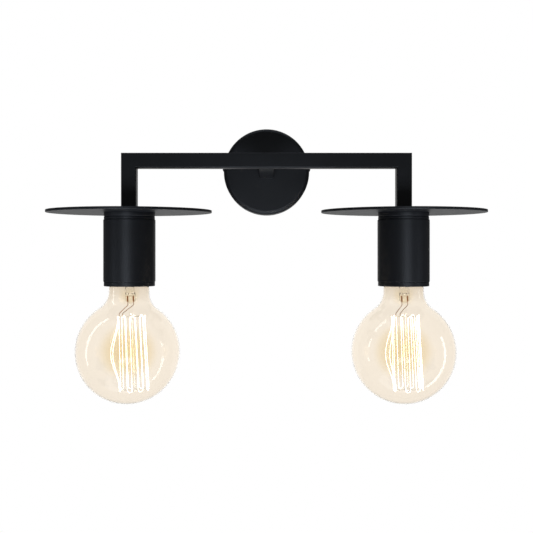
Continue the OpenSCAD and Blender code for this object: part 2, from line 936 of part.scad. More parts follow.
module cap_insulator(side) {
    color(bakelite)
    translate([side * lamp_x, bar_y, eyelet_z])
        rotate_extrude()
            polygon([
                [1, -5.4], [cap_d / 2 - 1.6, -5.4], [cap_d / 2 - 1.8, -4.6], [5.2, -1.6], [1, -1.6]
            ]);
}

// Round solder contact at the end of the cap
module eyelet(side) {
    color(zinc)
    translate([side * lamp_x, bar_y, eyelet_z])
        rotate_extrude()
            polygon([[0, -1.55], [4.8, -1.55], [4.6, -1], [3, -0.2], [1.8, 0], [0, 0]]);
}

// Outline of the glass, moved inwards by t: mouth, shoulder, neck, hollow curve, globe
function glass_side(t) =
    let (
        neck_x = neck_r - shoulder_r,
        mouth_x = cap_d / 2 - 0.8 - t,
        lift = shoulder_z - globe_z,
        turn = acos((mouth_x - neck_x) / (shoulder_r - t)),
        fillet_x = neck_r + neck_fillet_r,
        meet = atan2(neck_fillet_z, fillet_x)
    )
    concat(
        [[mouth_x, neck_end_z - globe_z]],
        arc([neck_x, lift], shoulder_r - t, turn, 0, 8),
        arc([fillet_x, neck_fillet_z], neck_fillet_r + t, 180, 180 + meet, 10),
        arc([0, 0], globe_r - t, meet - 3, -90, 36)
    );

function reversed(p) = [for (i = [len(p) - 1 : -1 : 0]) p[i]];

// The glass sits a little skew on its cap, and turns about the middle of the cap's rim
module bulb_glass(side) {
    skew = side == left ? glass_skew_left : glass_skew_right;
    color(amber)
    translate([side * lamp_x, bar_y, cap_end_z])
        rotate([0, skew, 0])
            translate([0, 0, globe_z - cap_end_z])
                rotate_extrude($fn = 128)
                    polygon(concat(glass_side(0), reversed(glass_side(glass_t))));
}

// Places the inside of the bulb: it leans a little on the rim of the glass neck
module leaning(side) {
    translate([side * lamp_x, bar_y, neck_end_z])
        rotate([0, -mount_lean, 0])
            translate([0, 0, -neck_end_z])
                children();
}

// Glass mount: flare on the neck's rim, tube, flat press, rod and two buttons
module glass_mount(side) {
    flare_r = cap_d / 2 - 1.1;
    flare_gap = 0.85;
    tube_r = 4.5;
    tube_in_r = 3.3;
    color(clear)
    leaning(side) {
        difference() {
            union() {
                translate([0, 0, neck_end_z + flare_gap])
                    cylinder(r = flare_r, h = 1);
                translate([0, 0, neck_end_z - 10])
                    cylinder(r1 = tube_r, r2 = tube_r + 4, h = 10 + flare_gap);
                translate([0, 0, press_z])
                    cylinder(r = tube_r, h = neck_end_z - 10 - press_z);
            }
            translate([0, 0, press_z + 7])
                cylinder(r = tube_in_r, h = neck_end_z - press_z);
            // The tube is pinched flat at the press
            for (end = [-1, 1])
                translate([0, end * (1.7 + tube_r), press_z])
                    cube([20, 2 * tube_r, 12], center = true);
        }
        translate([0, 0, cage_end_z - button_h / 2])
            cylinder(r = rod_r, h = press_z - cage_end_z + button_h / 2 + 0.2);
        for (k = [0, 1])
            translate([0, 0, spoke_z(k) - button_h / 2])
                cylinder(r = button_r, h = button_h);
    }
}

// Hooks of the cage are numbered from the first lead: even ones are at the top
function hook_top(k) = k % 2 == 0;
function hook_angle(k) = first_turn + strand_turn * k;
function hook_r(k) = (hook_top(k) ? cage_top_d : cage_bottom_d) / 2;
function hook_z(k) = hook_top(k) ? cage_z : cage_end_z;
function on_cage(r, a, z) = [r * cos(a), r * sin(a), z];

// A spoke lies inside the turn of the wire that it holds
function spoke_z(k) = hook_z(k) + (hook_top(k) ? -1 : 1) * (filament_d / 2 + spoke_r + 0.1);

// The wire's turn round a hook, from one strand to the next
function hairpin(k) =
    let (
        into = hook_top(k) ? -1 : 1,
        half = hairpin_r / hook_r(k) * 180 / PI
    )
    [
        for (t = [(k == 0 ? 0 : -90) : 45 : (k == strands ? 0 : 90)])
        on_cage(hook_r(k), hook_angle(k) + half * sin(t), hook_z(k) + into * hairpin_r * (1 - cos(t)))
    ];

// How far a strand bows outwards: only the last two are slack
function bow(k) = k == strands - 1 ? slack_bow * 0.85 : k == strands - 2 ? slack_bow : 0;

// Middle stretch of the strand that runs from hook k to hook k + 1
function strand(k) =
    bow(k) == 0 ? [] :
    [
        for (t = [0.2 : 0.1 : 0.8])
        on_cage(
            hook_r(k) + (hook_r(k + 1) - hook_r(k)) * t + bow(k) * pow(sin(180 * t), 2),
            hook_angle(k) + strand_turn * t,
            hook_z(k) + (hook_z(k + 1) - hook_z(k)) * t
        )
    ];

filament_path = [for (k = [0 : strands]) each concat(hairpin(k), k < strands ? strand(k) : [])];
filament_sides = [for (p = filament_path) unit([p[0], p[1], 0])];

// Least gap between two stretches of the filament that aren't neighbours along it
filament_gap = min([
    for (i = [0 : len(filament_path) - 1])
    for (j = [i + 5 : 1 : len(filament_path) - 1])
    norm(filament_path[i] - filament_path[j])
]) - filament_d;
echo(filament_gap = filament_gap);

module filament(side) {
    color(hot)
    leaning(side)
        tube_along(filament_path, filament_sides, filament_d / 2, 6);
}

// Spokes from the buttons of the rod to the hooks, but not to the two ends
module support_wires(side) {
    color(zinc)
    leaning(side)
        for (k = [1 : strands - 1])
            translate([0, 0, spoke_z(k)])
                rotate([0, 90, hook_angle(k)])
                    translate([0, 0, button_r])
                        cylinder(r = spoke_r, h = hook_r(k) + filament_d / 2 - button_r);
}

// Two leads from the press to the ends of the filament
module lead_wires(side) {
    lead_r = 0.35;
    color([0.72, 0.45, 0.20])
    leaning(side)
        for (k = [0, strands]) {
            x = k == 0 ? 2.6 : -2.6;
            hook = on_cage(hook_r(k), hook_angle(k), hook_z(k) + filament_d / 2 + 0.1);
            wire([
                [x, 0, press_z],
                [x, 0, press_z - 1.2],
                [x, -0.5, press_z - 2.8],
                hook + [0, 0, 2.5],
                hook
            ], 1.5, lead_r, 6);
        }
}

canopy();
wall_bracket();
canopy_screws();
earth_screw();
terminal_block();
block_screws();
pole_tubes();
stem_tube();
stem_insert();
stem_nipple();
stem_washer();
stem_nut();
crossbar();
drop_tube(left);  // drop_tube_left
drop_tube(right);  // drop_tube_right
drop_insert(left);  // drop_insert_left
drop_insert(right);  // drop_insert_right
lamp_nipple(left);  // lamp_nipple_left
lamp_nipple(right);  // lamp_nipple_right
lamp_washers();
lamp_nuts();
shade(left);  // shade_left
shade(right);  // shade_right
cup_cap(left);  // cup_cap_left
cup_cap(right);  // cup_cap_right
lock_ring(left);  // lock_ring_left
lock_ring(right);  // lock_ring_right
cup_sleeve(left);  // cup_sleeve_left
cup_sleeve(right);  // cup_sleeve_right
holder_dome(left);  // holder_dome_left
holder_dome(right);  // holder_dome_right
holder_skirt(left);  // holder_skirt_left
holder_skirt(right);  // holder_skirt_right
holder_insert(left);  // holder_insert_left
holder_insert(right);  // holder_insert_right
screw_shell(left);  // screw_shell_left
screw_shell(right);  // screw_shell_right
centre_contact(left);  // centre_contact_left
centre_contact(right);  // centre_contact_right
terminals();
live_wires();
neutral_wires();
earth_wire();
bulb_cap(left);  // bulb_cap_left
bulb_cap(right);  // bulb_cap_right
cap_insulator(left);  // cap_insulator_left
cap_insulator(right);  // cap_insulator_right
eyelet(left);  // eyelet_left
eyelet(right);  // eyelet_right
bulb_glass(left);  // bulb_glass_left
bulb_glass(right);  // bulb_glass_right
glass_mount(left);  // glass_mount_left
glass_mount(right);  // glass_mount_right
support_wires(left);  // support_wires_left
support_wires(right);  // support_wires_right
lead_wires(left);  // lead_wires_left
lead_wires(right);  // lead_wires_right
filament(left);  // filament_left
filament(right);  // filament_right
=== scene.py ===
"""Finishes the two-light wall lamp: fine metalwork, threads, wiring, lampholders and lit bulbs."""

import math

import bmesh
import bpy
from bpy.props import FloatProperty, FloatVectorProperty, IntProperty, PointerProperty
from mathutils import Matrix, Vector


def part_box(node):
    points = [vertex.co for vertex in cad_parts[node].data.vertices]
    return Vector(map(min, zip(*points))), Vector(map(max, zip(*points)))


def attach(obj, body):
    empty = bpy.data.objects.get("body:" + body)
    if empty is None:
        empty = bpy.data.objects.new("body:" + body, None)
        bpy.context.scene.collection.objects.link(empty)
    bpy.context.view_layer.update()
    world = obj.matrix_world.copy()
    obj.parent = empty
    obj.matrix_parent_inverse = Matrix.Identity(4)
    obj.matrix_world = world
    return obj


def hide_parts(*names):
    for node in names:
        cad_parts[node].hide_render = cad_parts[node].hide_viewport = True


bl_info = {
    "name": "Two-Light Wall Lamp",
    "version": (1, 0, 0),
    "blender": (4, 5, 0),
    "location": "View3D > Sidebar > Wall Lamp",
    "description": "Builds the finished pieces of a wall lamp around its packed solids",
    "category": "Object",
}

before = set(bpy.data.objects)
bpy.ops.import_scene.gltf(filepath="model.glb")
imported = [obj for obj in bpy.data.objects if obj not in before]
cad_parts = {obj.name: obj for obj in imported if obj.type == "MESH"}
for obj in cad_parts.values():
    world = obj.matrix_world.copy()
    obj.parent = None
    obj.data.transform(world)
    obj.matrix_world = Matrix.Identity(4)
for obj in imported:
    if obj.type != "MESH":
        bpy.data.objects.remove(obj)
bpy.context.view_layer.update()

MM = 0.001
X, Y, Z = range(3)
SIDES = (("left", -1), ("right", 1))


def span(node):
    """Lowest and highest corner of a solid, in millimetres."""
    low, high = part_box(node)
    return low / MM, high / MM


def middle(node, axis):
    """Middle of a solid along an axis, in millimetres."""
    low, high = span(node)
    return (low[axis] + high[axis]) / 2


def extent(node, axis):
    """Size of a solid along an axis, in millimetres."""
    low, high = span(node)
    return high[axis] - low[axis]


# Places and sizes that the solids give, in millimetres
LAMP_X = middle("shade_right", X)
BAR_Y = middle("crossbar", Y)
TUBE_W = extent("crossbar", Z)
EYELET_Z = span("eyelet_left")[1].z
HOLDER_TOP_Z = span("holder_skirt_left")[1].z
HOLDER_END_Z = span("holder_skirt_left")[0].z
HOLDER_R = extent("holder_skirt_left", X) / 2
SHELL_Z = span("screw_shell_left")[0].z
SHELL_TOP_Z = span("screw_shell_left")[1].z
LAMP_NIPPLE_END_Z = span("lamp_nipple_left")[0].z
BLOCK_Y = middle("terminal_block", Y)
BLOCK_H = extent("terminal_block", Z)
TERMINAL_TOP_Z = span("terminals")[1].z
CAP_END_Z = span("bulb_cap_left")[0].z
# The cap's rim stands out by 0.2 mm from its thread
CAP_R = extent("bulb_cap_left", X) / 2 - 0.2
CAP_LEN = EYELET_Z - CAP_END_Z
GLOBE_R = extent("bulb_glass_right", X) / 2
GLOBE_Z = span("bulb_glass_right")[0].z + GLOBE_R

# Height of a thread's ridge for each unit of its pitch
RIDGE = 0.46

# Sizes of the fixings, lampholders and wires that their solids share, in millimetres
# HOLDER_Z is the height in a lampholder from which its other heights are counted
HOLDER_Z = HOLDER_TOP_Z - 9
STRAP_T = 2.0
NIPPLE_BORE_R = 3.0
SIDE_SCREW_D = 3.0
SIDE_HEAD_H = 1.6
SIDE_SCREW_LEN = 8.0
LUG_D = 8.0
LUG_T = 0.8
POLE_PITCH = 9.0
TERMINAL_X = 8.0
TERMINAL_W = 4.4
SKIRT_BORE_R = 17.6
SKIRT_WAIST_R = 15.4
SHELL_T = 0.4
SHELL_R = CAP_R + 0.3
GRIP_RIBS = 60
GRIP_DEPTH = 0.35
WIRE_D = 2.0
WIRE_PITCH = 2.4
WIRE_LAYER = 2.3
WIRE_BEND_R = 3.0
BEND_STEPS = 8
LIVE_Y = span("stem_nipple")[1].y + 2.8
WIRE_END_Z = BLOCK_H / 4 - 2
CLIMB_Z = 7.5
STRAND_R = 0.18
STRAND_LAY = 9

# Sizes of the bulb that its solids share, in millimetres and degrees
THREAD_PITCH = 3.629
THREAD_DEPTH = 0.42
GLASS_T = 0.8
GLASS_SKEW = {"left": 1.4, "right": 0.0}
NECK_R = 18.4
# Heights over the globe's middle across which the painted shade of the neck sets in
NECK_STAIN = (44, 60)
NECK_END_Z = EYELET_Z - 20
SHOULDER_R = 6.0
SHOULDER_Z = EYELET_Z - 34.4
FILLET_R = 18.0
MOUNT_LEAN = 2.4
FLARE_GAP = 0.85
TUBE_R = 4.5
TUBE_IN_R = 3.3
PRESS_Z = EYELET_Z - 46.5
ROD_R = 1.4
BUTTON_R = 2.4
SPOKE_R = 0.15
SPOKE_INSET = 0.65
SPOKE_BEND_R = 0.5
LEAD_R = 0.3
SEAL_R = 0.75
LEAD_X = 2.6
CAGE_Z = PRESS_Z - 12.4
CAGE_END_Z = GLOBE_Z - GLOBE_R + 12
CAGE_TOP_R = 12.4
CAGE_BOTTOM_R = 13.5
STRANDS = 16
STRAND_TURN = 360 / (STRANDS + 1)
FIRST_TURN = 239.5
HAIRPIN_R = 2.2
SLACK_BOW = 7.0


# Colours and nodes

def linear(code):
    """An sRGB hex colour as linear values."""
    parts = [int(code[i : i + 2], 16) / 255 for i in (1, 3, 5)]
    return [p / 12.92 if p <= 0.04045 else ((p + 0.055) / 1.055) ** 2.4 for p in parts]


def add(tree, kind, inputs=None, **settings):
    """Adds a node, sets its settings, and fills or links its inputs."""
    made = tree.nodes.new(kind)
    for key, value in settings.items():
        setattr(made, key, value)
    for key, value in (inputs or {}).items():
        if isinstance(value, bpy.types.NodeSocket):
            tree.links.new(value, made.inputs[key])
        else:
            made.inputs[key].default_value = value
    return made


def start_material(name):
    """A material whose surface is one Principled shader."""
    made = bpy.data.materials.new(name)
    made.use_nodes = True
    tree = made.node_tree
    tree.nodes.clear()
    surface = add(tree, "ShaderNodeBsdfPrincipled")
    add(tree, "ShaderNodeOutputMaterial", {"Surface": surface.outputs[0]})
    return made, tree, surface


def blotches(tree, size, low, high, detail=2.0, stretch=(1, 1, 1)):
    """Noise with lumps of about that size in metres, spread over low to high."""
    place = add(tree, "ShaderNodeTexCoord").outputs["Object"]
    if stretch != (1, 1, 1):
        place = add(tree, "ShaderNodeMapping", {"Vector": place, "Scale": stretch}).outputs[0]
    noise = add(tree, "ShaderNodeTexNoise", {"Vector": place, "Scale": 1 / size, "Detail": detail})
    # Nearly all of the noise lies between 0.3 and 0.7
    spread = add(tree, "ShaderNodeMapRange", {
        "Value": noise.outputs["Fac"], "From Min": 0.3, "From Max": 0.7, "To Min": low, "To Max": high})
    return spread.outputs[0]


def mixed(tree, factor, first, second):
    """Colour between two colours, each a hex code or linear values."""
    made = add(tree, "ShaderNodeMix", data_type="RGBA")
    tree.links.new(factor, made.inputs[0])
    for socket, colour in ((6, first), (7, second)):
        made.inputs[socket].default_value = (*(linear(colour) if isinstance(colour, str) else colour), 1)
    return made.outputs[2]


def bumped(tree, surface, height, depth):
    """Gives a surface relief of that depth in metres."""
    relief = add(tree, "ShaderNodeBump", {"Height": height, "Strength": 1.0, "Distance": depth})
    tree.links.new(relief.outputs[0], surface.inputs["Normal"])


# Finishes

def powder_coat():
    """Polyester powder baked on steel: satin black, a cool grey sheen and a fine orange peel."""
    made, tree, surface = start_material("Satin black powder coat")
    surface.inputs["IOR"].default_value = 1.5
    # The tone drifts over 30 mm and the gloss over 12 mm, as the film's thickness does
    tone = blotches(tree, 0.03, 0, 1)
    tree.links.new(mixed(tree, tone, "#131518", "#16181C"), surface.inputs["Base Color"])
    tree.links.new(blotches(tree, 0.012, 0.38, 0.42), surface.inputs["Roughness"])
    # Orange peel of about 0.8 mm
    bumped(tree, surface, blotches(tree, 0.0008, 0, 1), 0.000012)
    return made


def bare_metal(name, first, second, roughness, brush=(1, 1, 1)):
    """Bare or thinly plated metal: even and bright, with faint cloudy marks.

    Real tool marks are finer than 0.1 mm. They are drawn as 0.4 mm grain and 1.2 mm marks, so that they show.
    """
    made, tree, surface = start_material(name)
    surface.inputs["Metallic"].default_value = 1.0
    tree.links.new(mixed(tree, blotches(tree, 0.004, 0, 1), first, second), surface.inputs["Base Color"])
    tree.links.new(blotches(tree, 0.0012, roughness - 0.06, roughness + 0.08, stretch=brush),
                   surface.inputs["Roughness"])
    bumped(tree, surface, blotches(tree, 0.0004, 0, 1, stretch=brush), 0.000006)
    return made


def moulded(name, first, second, roughness, grain=0.0005, depth=0.000004, ior=1.5):
    """Moulded or glazed material: colour with slight clouds of 6 mm, and a fine skin."""
    made, tree, surface = start_material(name)
    surface.inputs["IOR"].default_value = ior
    tree.links.new(mixed(tree, blotches(tree, 0.006, 0, 1), first, second), surface.inputs["Base Color"])
    tree.links.new(blotches(tree, 0.003, roughness - 0.04, roughness + 0.05), surface.inputs["Roughness"])
    bumped(tree, surface, blotches(tree, grain, 0, 1), depth)
    return made


def blown_glass(name, face_on, edge, ior, neck=None):
    """Blown soda-lime glass: clear and smooth, with faint waves from blowing. Its tint is deeper face on; the
    paler colour towards its outline is a painted reflection of the bright studio at the rim.

    Its fire-polished skin is a gloss on top that draws bright arcs, and fades where the wall turns away.
    A neck colour makes the tint greyer and a little darker towards the cap: painted shade, standing for the
    dark lampholder reflected in the neck.
    """
    made, tree, surface = start_material(name)
    surface.inputs["IOR"].default_value = ior
    surface.inputs["Roughness"].default_value = 0.0
    surface.inputs["Transmission Weight"].default_value = 1.0
    surface.inputs["Coat IOR"].default_value = 1.4
    surface.inputs["Coat Roughness"].default_value = 0.04
    facing = add(tree, "ShaderNodeLayerWeight", {"Blend": 0.5}).outputs["Facing"]
    # The tint is deepest face on and has the edge's colour from 33 degrees off. That paler edge colour is a
    # painted reflection of the bright studio at the rim
    slope = add(tree, "ShaderNodeMapRange", {"Value": facing, "From Min": 0.0, "From Max": 0.16})
    tint = mixed(tree, slope.outputs[0], face_on, edge)
    # The gloss is full up to 50 degrees off and gone at 70
    gloss = add(tree, "ShaderNodeMapRange", {
        "Value": facing, "From Min": 0.35, "From Max": 0.65, "To Min": 0.7, "To Max": 0.0})
    tree.links.new(gloss.outputs[0], surface.inputs["Coat Weight"])
    if neck is not None:
        place = add(tree, "ShaderNodeTexCoord").outputs["Object"]
        height = add(tree, "ShaderNodeSeparateXYZ", {0: place}).outputs["Z"]
        low, high = ((GLOBE_Z + z) * MM for z in NECK_STAIN)
        near = add(tree, "ShaderNodeMapRange", {"Value": height, "From Min": low, "From Max": high})
        tint = add(tree, "ShaderNodeMix", {0: near.outputs[0], 6: tint, 7: (*neck, 1)},
                   data_type="RGBA").outputs[2]
    tree.links.new(tint, surface.inputs["Base Color"])
    # Waves of about 18 mm, drawn out along the bulb
    bumped(tree, surface, blotches(tree, 0.018, 0, 1, stretch=(1, 1, 0.35)), 0.00001)
    return made


def glowing_wire(strength):
    """Coiled tungsten at working heat: it shines warm white, with a slight drift in colour over 20 mm."""
    made, tree, surface = start_material("Glowing tungsten")
    surface.inputs["Base Color"].default_value = (*linear("#EDE6DA"), 1)
    surface.inputs["Metallic"].default_value = 1.0
    surface.inputs["Roughness"].default_value = 0.5
    heat = mixed(tree, blotches(tree, 0.02, 0, 1), "#FFF7EA", "#FFFCF5")
    tree.links.new(heat, surface.inputs["Emission Color"])
    surface.inputs["Emission Strength"].default_value = strength
    return made


# Shapes

def coated(finish, *nodes):
    """Gives solids that keep their shape a finish."""
    for node in nodes:
        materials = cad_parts[node].data.materials
        materials.clear()
        materials.append(finish)


def finished(name, mesh, body, finish, replaced=(), sharp=35):
    """Makes a mesh a finished piece of the lamp that rides on a body and stands for solids."""
    if finish is not None:
        mesh.materials.clear()
        mesh.materials.append(finish)
    for face in mesh.polygons:
        face.use_smooth = True
    mesh.set_sharp_from_angle(angle=math.radians(sharp))
    piece = bpy.data.objects.new(name, mesh)
    bpy.context.scene.collection.objects.link(piece)
    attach(piece, body)
    if replaced:
        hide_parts(*replaced)
    return piece


def ring_faces(sheet, first, second):
    """Joins two rings of equal length with faces."""
    count = len(first)
    for i in range(count):
        j = (i + 1) % count
        corners = [first[i], first[j], second[j], second[i]]
        corners = [v for k, v in enumerate(corners) if v not in corners[:k]]
        if len(corners) > 2:
            sheet.faces.new(corners)


def turned(sheet, outline, segments, place=None, shape=None):
    """Turns a closed outline of (radius, height) in millimetres about the z axis."""
    rings = []
    for radius, height in outline:
        if radius < 1e-6:
            rings.append([sheet.verts.new((0, 0, height))] * segments)
            continue
        ring = []
        for i in range(segments):
            angle = 2 * math.pi * i / segments
            r, z = (radius, height) if shape is None else shape(radius, height, angle)
            ring.append(sheet.verts.new((r * math.cos(angle), r * math.sin(angle), z)))
        rings.append(ring)
    made = {v for ring in rings for v in ring}
    for first, second in zip(rings, rings[1:] + rings[:1]):
        if len(set(first)) > 1 or len(set(second)) > 1:
            ring_faces(sheet, first, second)
    if place is not None:
        bmesh.ops.transform(sheet, matrix=place, verts=list(made))
    return made


def rounded_route(corners, radius, steps):
    """Points of a route whose corners are rounded from that far before them to that far behind."""
    corners = [Vector(c) for c in corners]
    points = [corners[0]]
    for before, corner, after in zip(corners, corners[1:], corners[2:]):
        start = corner + (before - corner).normalized() * min(radius, (before - corner).length / 2)
        end = corner + (after - corner).normalized() * min(radius, (after - corner).length / 2)
        for i in range(steps + 1):
            t = i / steps
            points.append((1 - t) ** 2 * start + 2 * t * (1 - t) * corner + t * t * end)
    return points + [corners[-1]]


def arc(cx, cy, radius, start, end, steps):
    """Points on an arc from start to end, in degrees."""
    turns = [math.radians(start + (end - start) * i / steps) for i in range(steps + 1)]
    return [(cx + radius * math.cos(t), cy + radius * math.sin(t)) for t in turns]


def solid_mesh(name, sheet):
    """Closes a sheet of faces in millimetres into a mesh in metres with its faces outwards."""
    bmesh.ops.remove_doubles(sheet, verts=sheet.verts, dist=1e-5)
    bmesh.ops.recalc_face_normals(sheet, faces=sheet.faces)
    bmesh.ops.scale(sheet, vec=(MM, MM, MM), verts=sheet.verts)
    mesh = bpy.data.meshes.new(name)
    sheet.to_mesh(mesh)
    sheet.free()
    return mesh


def lathed(name, outline, segments, place, body, finish, node, shape=None, sharp=35):
    """A finished piece turned from one outline."""
    sheet = bmesh.new()
    turned(sheet, outline, segments, place, shape)
    return finished(name, solid_mesh(name, sheet), body, finish, [node], sharp)


def at_lamp(side, z=0.0):
    """Moves a shape to a lamp's axis."""
    return Matrix.Translation((side * LAMP_X, BAR_Y, z))


# Node trees for what repeats or follows a path

def start_tree(name, sockets):
    """A geometry tree with a Geometry input and output and the named inputs."""
    tree = bpy.data.node_groups.new(name, "GeometryNodeTree")
    tree.interface.new_socket("Geometry", in_out="INPUT", socket_type="NodeSocketGeometry")
    for label, kind in sockets:
        tree.interface.new_socket(label, in_out="INPUT", socket_type="NodeSocket" + kind)
    tree.interface.new_socket("Geometry", in_out="OUTPUT", socket_type="NodeSocketGeometry")
    return tree, add(tree, "NodeGroupInput").outputs


def end_tree(tree, geometry, given):
    """Ends a tree in Realize Instances and Set Material."""
    real = add(tree, "GeometryNodeRealizeInstances", {"Geometry": geometry})
    done = add(tree, "GeometryNodeSetMaterial", {
        "Geometry": real.outputs[0], "Material": given["Material"]})
    add(tree, "NodeGroupOutput", {"Geometry": done.outputs[0]})
    return tree


def maths(tree, operation, first, second):
    """One calculation."""
    return add(tree, "ShaderNodeMath", {0: first, 1: second}, operation=operation).outputs[0]


def grown(name, start, tree, values):
    """Runs a tree on a starting mesh and keeps what it makes as a plain mesh."""
    holder = bpy.data.objects.new(name, start)
    bpy.context.scene.collection.objects.link(holder)
    modifier = holder.modifiers.new("Shape", "NODES")
    modifier.node_group = tree
    for item in tree.interface.items_tree:
        if item.in_out == "INPUT" and item.name in values:
            modifier[item.identifier] = values[item.name]
    graph = bpy.context.evaluated_depsgraph_get()
    mesh = bpy.data.meshes.new_from_object(holder.evaluated_get(graph), depsgraph=graph)
    bpy.data.objects.remove(holder)
    return mesh


def ridge(tree, given):
    """V-shaped ridge of a right-hand thread, wound along z from the origin."""
    turns = maths(tree, "DIVIDE", given["Length"], given["Pitch"])
    helix = add(tree, "GeometryNodeCurveSpiral", {
        "Resolution": 24, "Rotations": turns, "Start Radius": given["Core Radius"],
        "End Radius": given["Core Radius"], "Height": given["Length"], "Reverse": True})
    upright = add(tree, "GeometryNodeSetCurveNormal", {"Curve": helix.outputs[0]}, mode="Z_UP")
    outline = add(tree, "GeometryNodeCurvePrimitiveCircle", {
        "Resolution": 4, "Radius": maths(tree, "MULTIPLY", given["Pitch"], RIDGE)})
    return add(tree, "GeometryNodeCurveToMesh", {
        "Curve": upright.outputs[0], "Profile Curve": outline.outputs[0], "Fill Caps": True}).outputs[0]


def joined(tree, *parts):
    """Puts pieces of geometry together."""
    both = add(tree, "GeometryNodeJoinGeometry")
    for part in parts:
        tree.links.new(part, both.inputs[0])
    return both.outputs[0]


def thread_tree():
    """Screw thread on a core that stands on z = 0."""
    tree, given = start_tree("Screw Thread", [
        ("Core Radius", "Float"), ("Pitch", "Float"), ("Start", "Float"), ("Length", "Float"),
        ("Material", "Material")])
    lift = add(tree, "ShaderNodeCombineXYZ", {"Z": given["Start"]})
    lifted = add(tree, "GeometryNodeTransform", {
        "Geometry": ridge(tree, given), "Translation": lift.outputs[0]})
    return end_tree(tree, joined(tree, given["Geometry"], lifted.outputs[0]), given)


def screw_tree():
    """Slotted screws on points: each point has the way that its head faces."""
    tree, given = start_tree("Screws on Points", [
        ("Blank", "Object"), ("Head Height", "Float"), ("Slot Width", "Float"), ("Slot Depth", "Float"),
        ("Core Radius", "Float"), ("Pitch", "Float"), ("Length", "Float"), ("Seed", "Int"),
        ("Material", "Material")])
    blank = add(tree, "GeometryNodeObjectInfo", {"Object": given["Blank"]}).outputs["Geometry"]
    # The bar that cuts the slot is longer than any head, and half of it stands above the head
    bar = add(tree, "ShaderNodeCombineXYZ", {
        "X": 20 * MM, "Y": given["Slot Width"], "Z": maths(tree, "MULTIPLY", given["Slot Depth"], 2.0)})
    lift = add(tree, "ShaderNodeCombineXYZ", {"Z": given["Head Height"]})
    cutter = add(tree, "GeometryNodeTransform", {
        "Geometry": add(tree, "GeometryNodeMeshCube", {"Size": bar.outputs[0]}).outputs["Mesh"],
        "Translation": lift.outputs[0]})
    slotted = add(tree, "GeometryNodeMeshBoolean", {"Mesh 1": blank, "Mesh 2": cutter.outputs[0]},
                  operation="DIFFERENCE", solver="EXACT")
    down = add(tree, "ShaderNodeCombineXYZ", {"Z": maths(tree, "MULTIPLY", given["Length"], -1.0)})
    wound = add(tree, "GeometryNodeTransform", {
        "Geometry": ridge(tree, given), "Translation": down.outputs[0]})
    screw = joined(tree, slotted.outputs[0], wound.outputs[0])
    facing = add(tree, "GeometryNodeInputNamedAttribute", {"Name": "facing"}, data_type="FLOAT_VECTOR")
    outwards = add(tree, "FunctionNodeAlignRotationToVector", {"Vector": facing.outputs[0]}, axis="Z")
    spin = add(tree, "FunctionNodeRandomValue", {"Seed": given["Seed"]}, data_type="FLOAT")
    driven = add(tree, "FunctionNodeAxisAngleToRotation", {
        "Axis": (0, 0, 1), "Angle": maths(tree, "MULTIPLY", spin.outputs[1], math.pi)})
    turn = add(tree, "FunctionNodeRotateRotation", {
        "Rotation": outwards.outputs[0], "Rotate By": driven.outputs[0]}, rotation_space="LOCAL")
    placed = add(tree, "GeometryNodeInstanceOnPoints", {
        "Points": given["Geometry"], "Instance": screw, "Rotation": turn.outputs[0]})
    return end_tree(tree, placed.outputs[0], given)


def coil_tree():
    """Coiled wire: a fine helix wound along a route of edges."""
    tree, given = start_tree("Coiled Wire", [
        ("Coil Radius", "Float"), ("Wire Radius", "Float"), ("Coil Pitch", "Float"),
        ("Points per Turn", "Int"), ("Material", "Material")])
    route = add(tree, "GeometryNodeMeshToCurve", {"Mesh": given["Geometry"]})
    length = add(tree, "GeometryNodeCurveLength", {"Curve": route.outputs[0]})
    turns = maths(tree, "DIVIDE", length.outputs[0], given["Coil Pitch"])
    count = maths(tree, "MULTIPLY", turns, given["Points per Turn"])
    even = add(tree, "GeometryNodeResampleCurve", {"Curve": route.outputs[0], "Count": count})
    twist = add(tree, "GeometryNodeSetCurveNormal", {"Curve": even.outputs[0]}, mode="MINIMUM_TWIST")
    along = add(tree, "GeometryNodeSplineParameter")
    phase = maths(tree, "MULTIPLY", maths(tree, "MULTIPLY", along.outputs["Factor"], turns), 2 * math.pi)
    normal = add(tree, "GeometryNodeInputNormal").outputs[0]
    tangent = add(tree, "GeometryNodeInputTangent").outputs[0]
    across = add(tree, "ShaderNodeVectorMath", {0: tangent, 1: normal}, operation="CROSS_PRODUCT")
    ways = []
    for direction, part in ((normal, "COSINE"), (across.outputs[0], "SINE")):
        reach = maths(tree, "MULTIPLY", maths(tree, part, phase, 0.0), given["Coil Radius"])
        way = add(tree, "ShaderNodeVectorMath", {0: direction, "Scale": reach}, operation="SCALE")
        ways.append(way.outputs[0])
    offset = add(tree, "ShaderNodeVectorMath", {0: ways[0], 1: ways[1]}, operation="ADD").outputs[0]
    helix = add(tree, "GeometryNodeSetPosition", {"Geometry": twist.outputs[0], "Offset": offset})
    outline = add(tree, "GeometryNodeCurvePrimitiveCircle", {
        "Resolution": 5, "Radius": given["Wire Radius"]})
    wire = add(tree, "GeometryNodeCurveToMesh", {
        "Curve": helix.outputs[0], "Profile Curve": outline.outputs[0], "Fill Caps": True})
    return end_tree(tree, wire.outputs[0], given)


def bead_tree():
    """Weld bead: flat overlapping ripples along a route of edges."""
    tree, given = start_tree("Weld Bead", [
        ("Bead Radius", "Float"), ("Ripple Pitch", "Float"), ("Material", "Material")])
    route = add(tree, "GeometryNodeMeshToCurve", {"Mesh": given["Geometry"]})
    even = add(tree, "GeometryNodeResampleCurve", {
        "Curve": route.outputs[0], "Length": given["Ripple Pitch"]}, mode="LENGTH")
    ripple = add(tree, "GeometryNodeMeshUVSphere", {
        "Segments": 12, "Rings": 8, "Radius": given["Bead Radius"]})
    along = add(tree, "GeometryNodeInputTangent").outputs[0]
    turn = add(tree, "FunctionNodeAlignRotationToVector", {"Vector": along}, axis="Z")
    placed = add(tree, "GeometryNodeInstanceOnPoints", {
        "Points": even.outputs[0], "Instance": ripple.outputs[0], "Rotation": turn.outputs[0],
        "Scale": (1.0, 1.0, 0.7)})
    return end_tree(tree, placed.outputs[0], given)


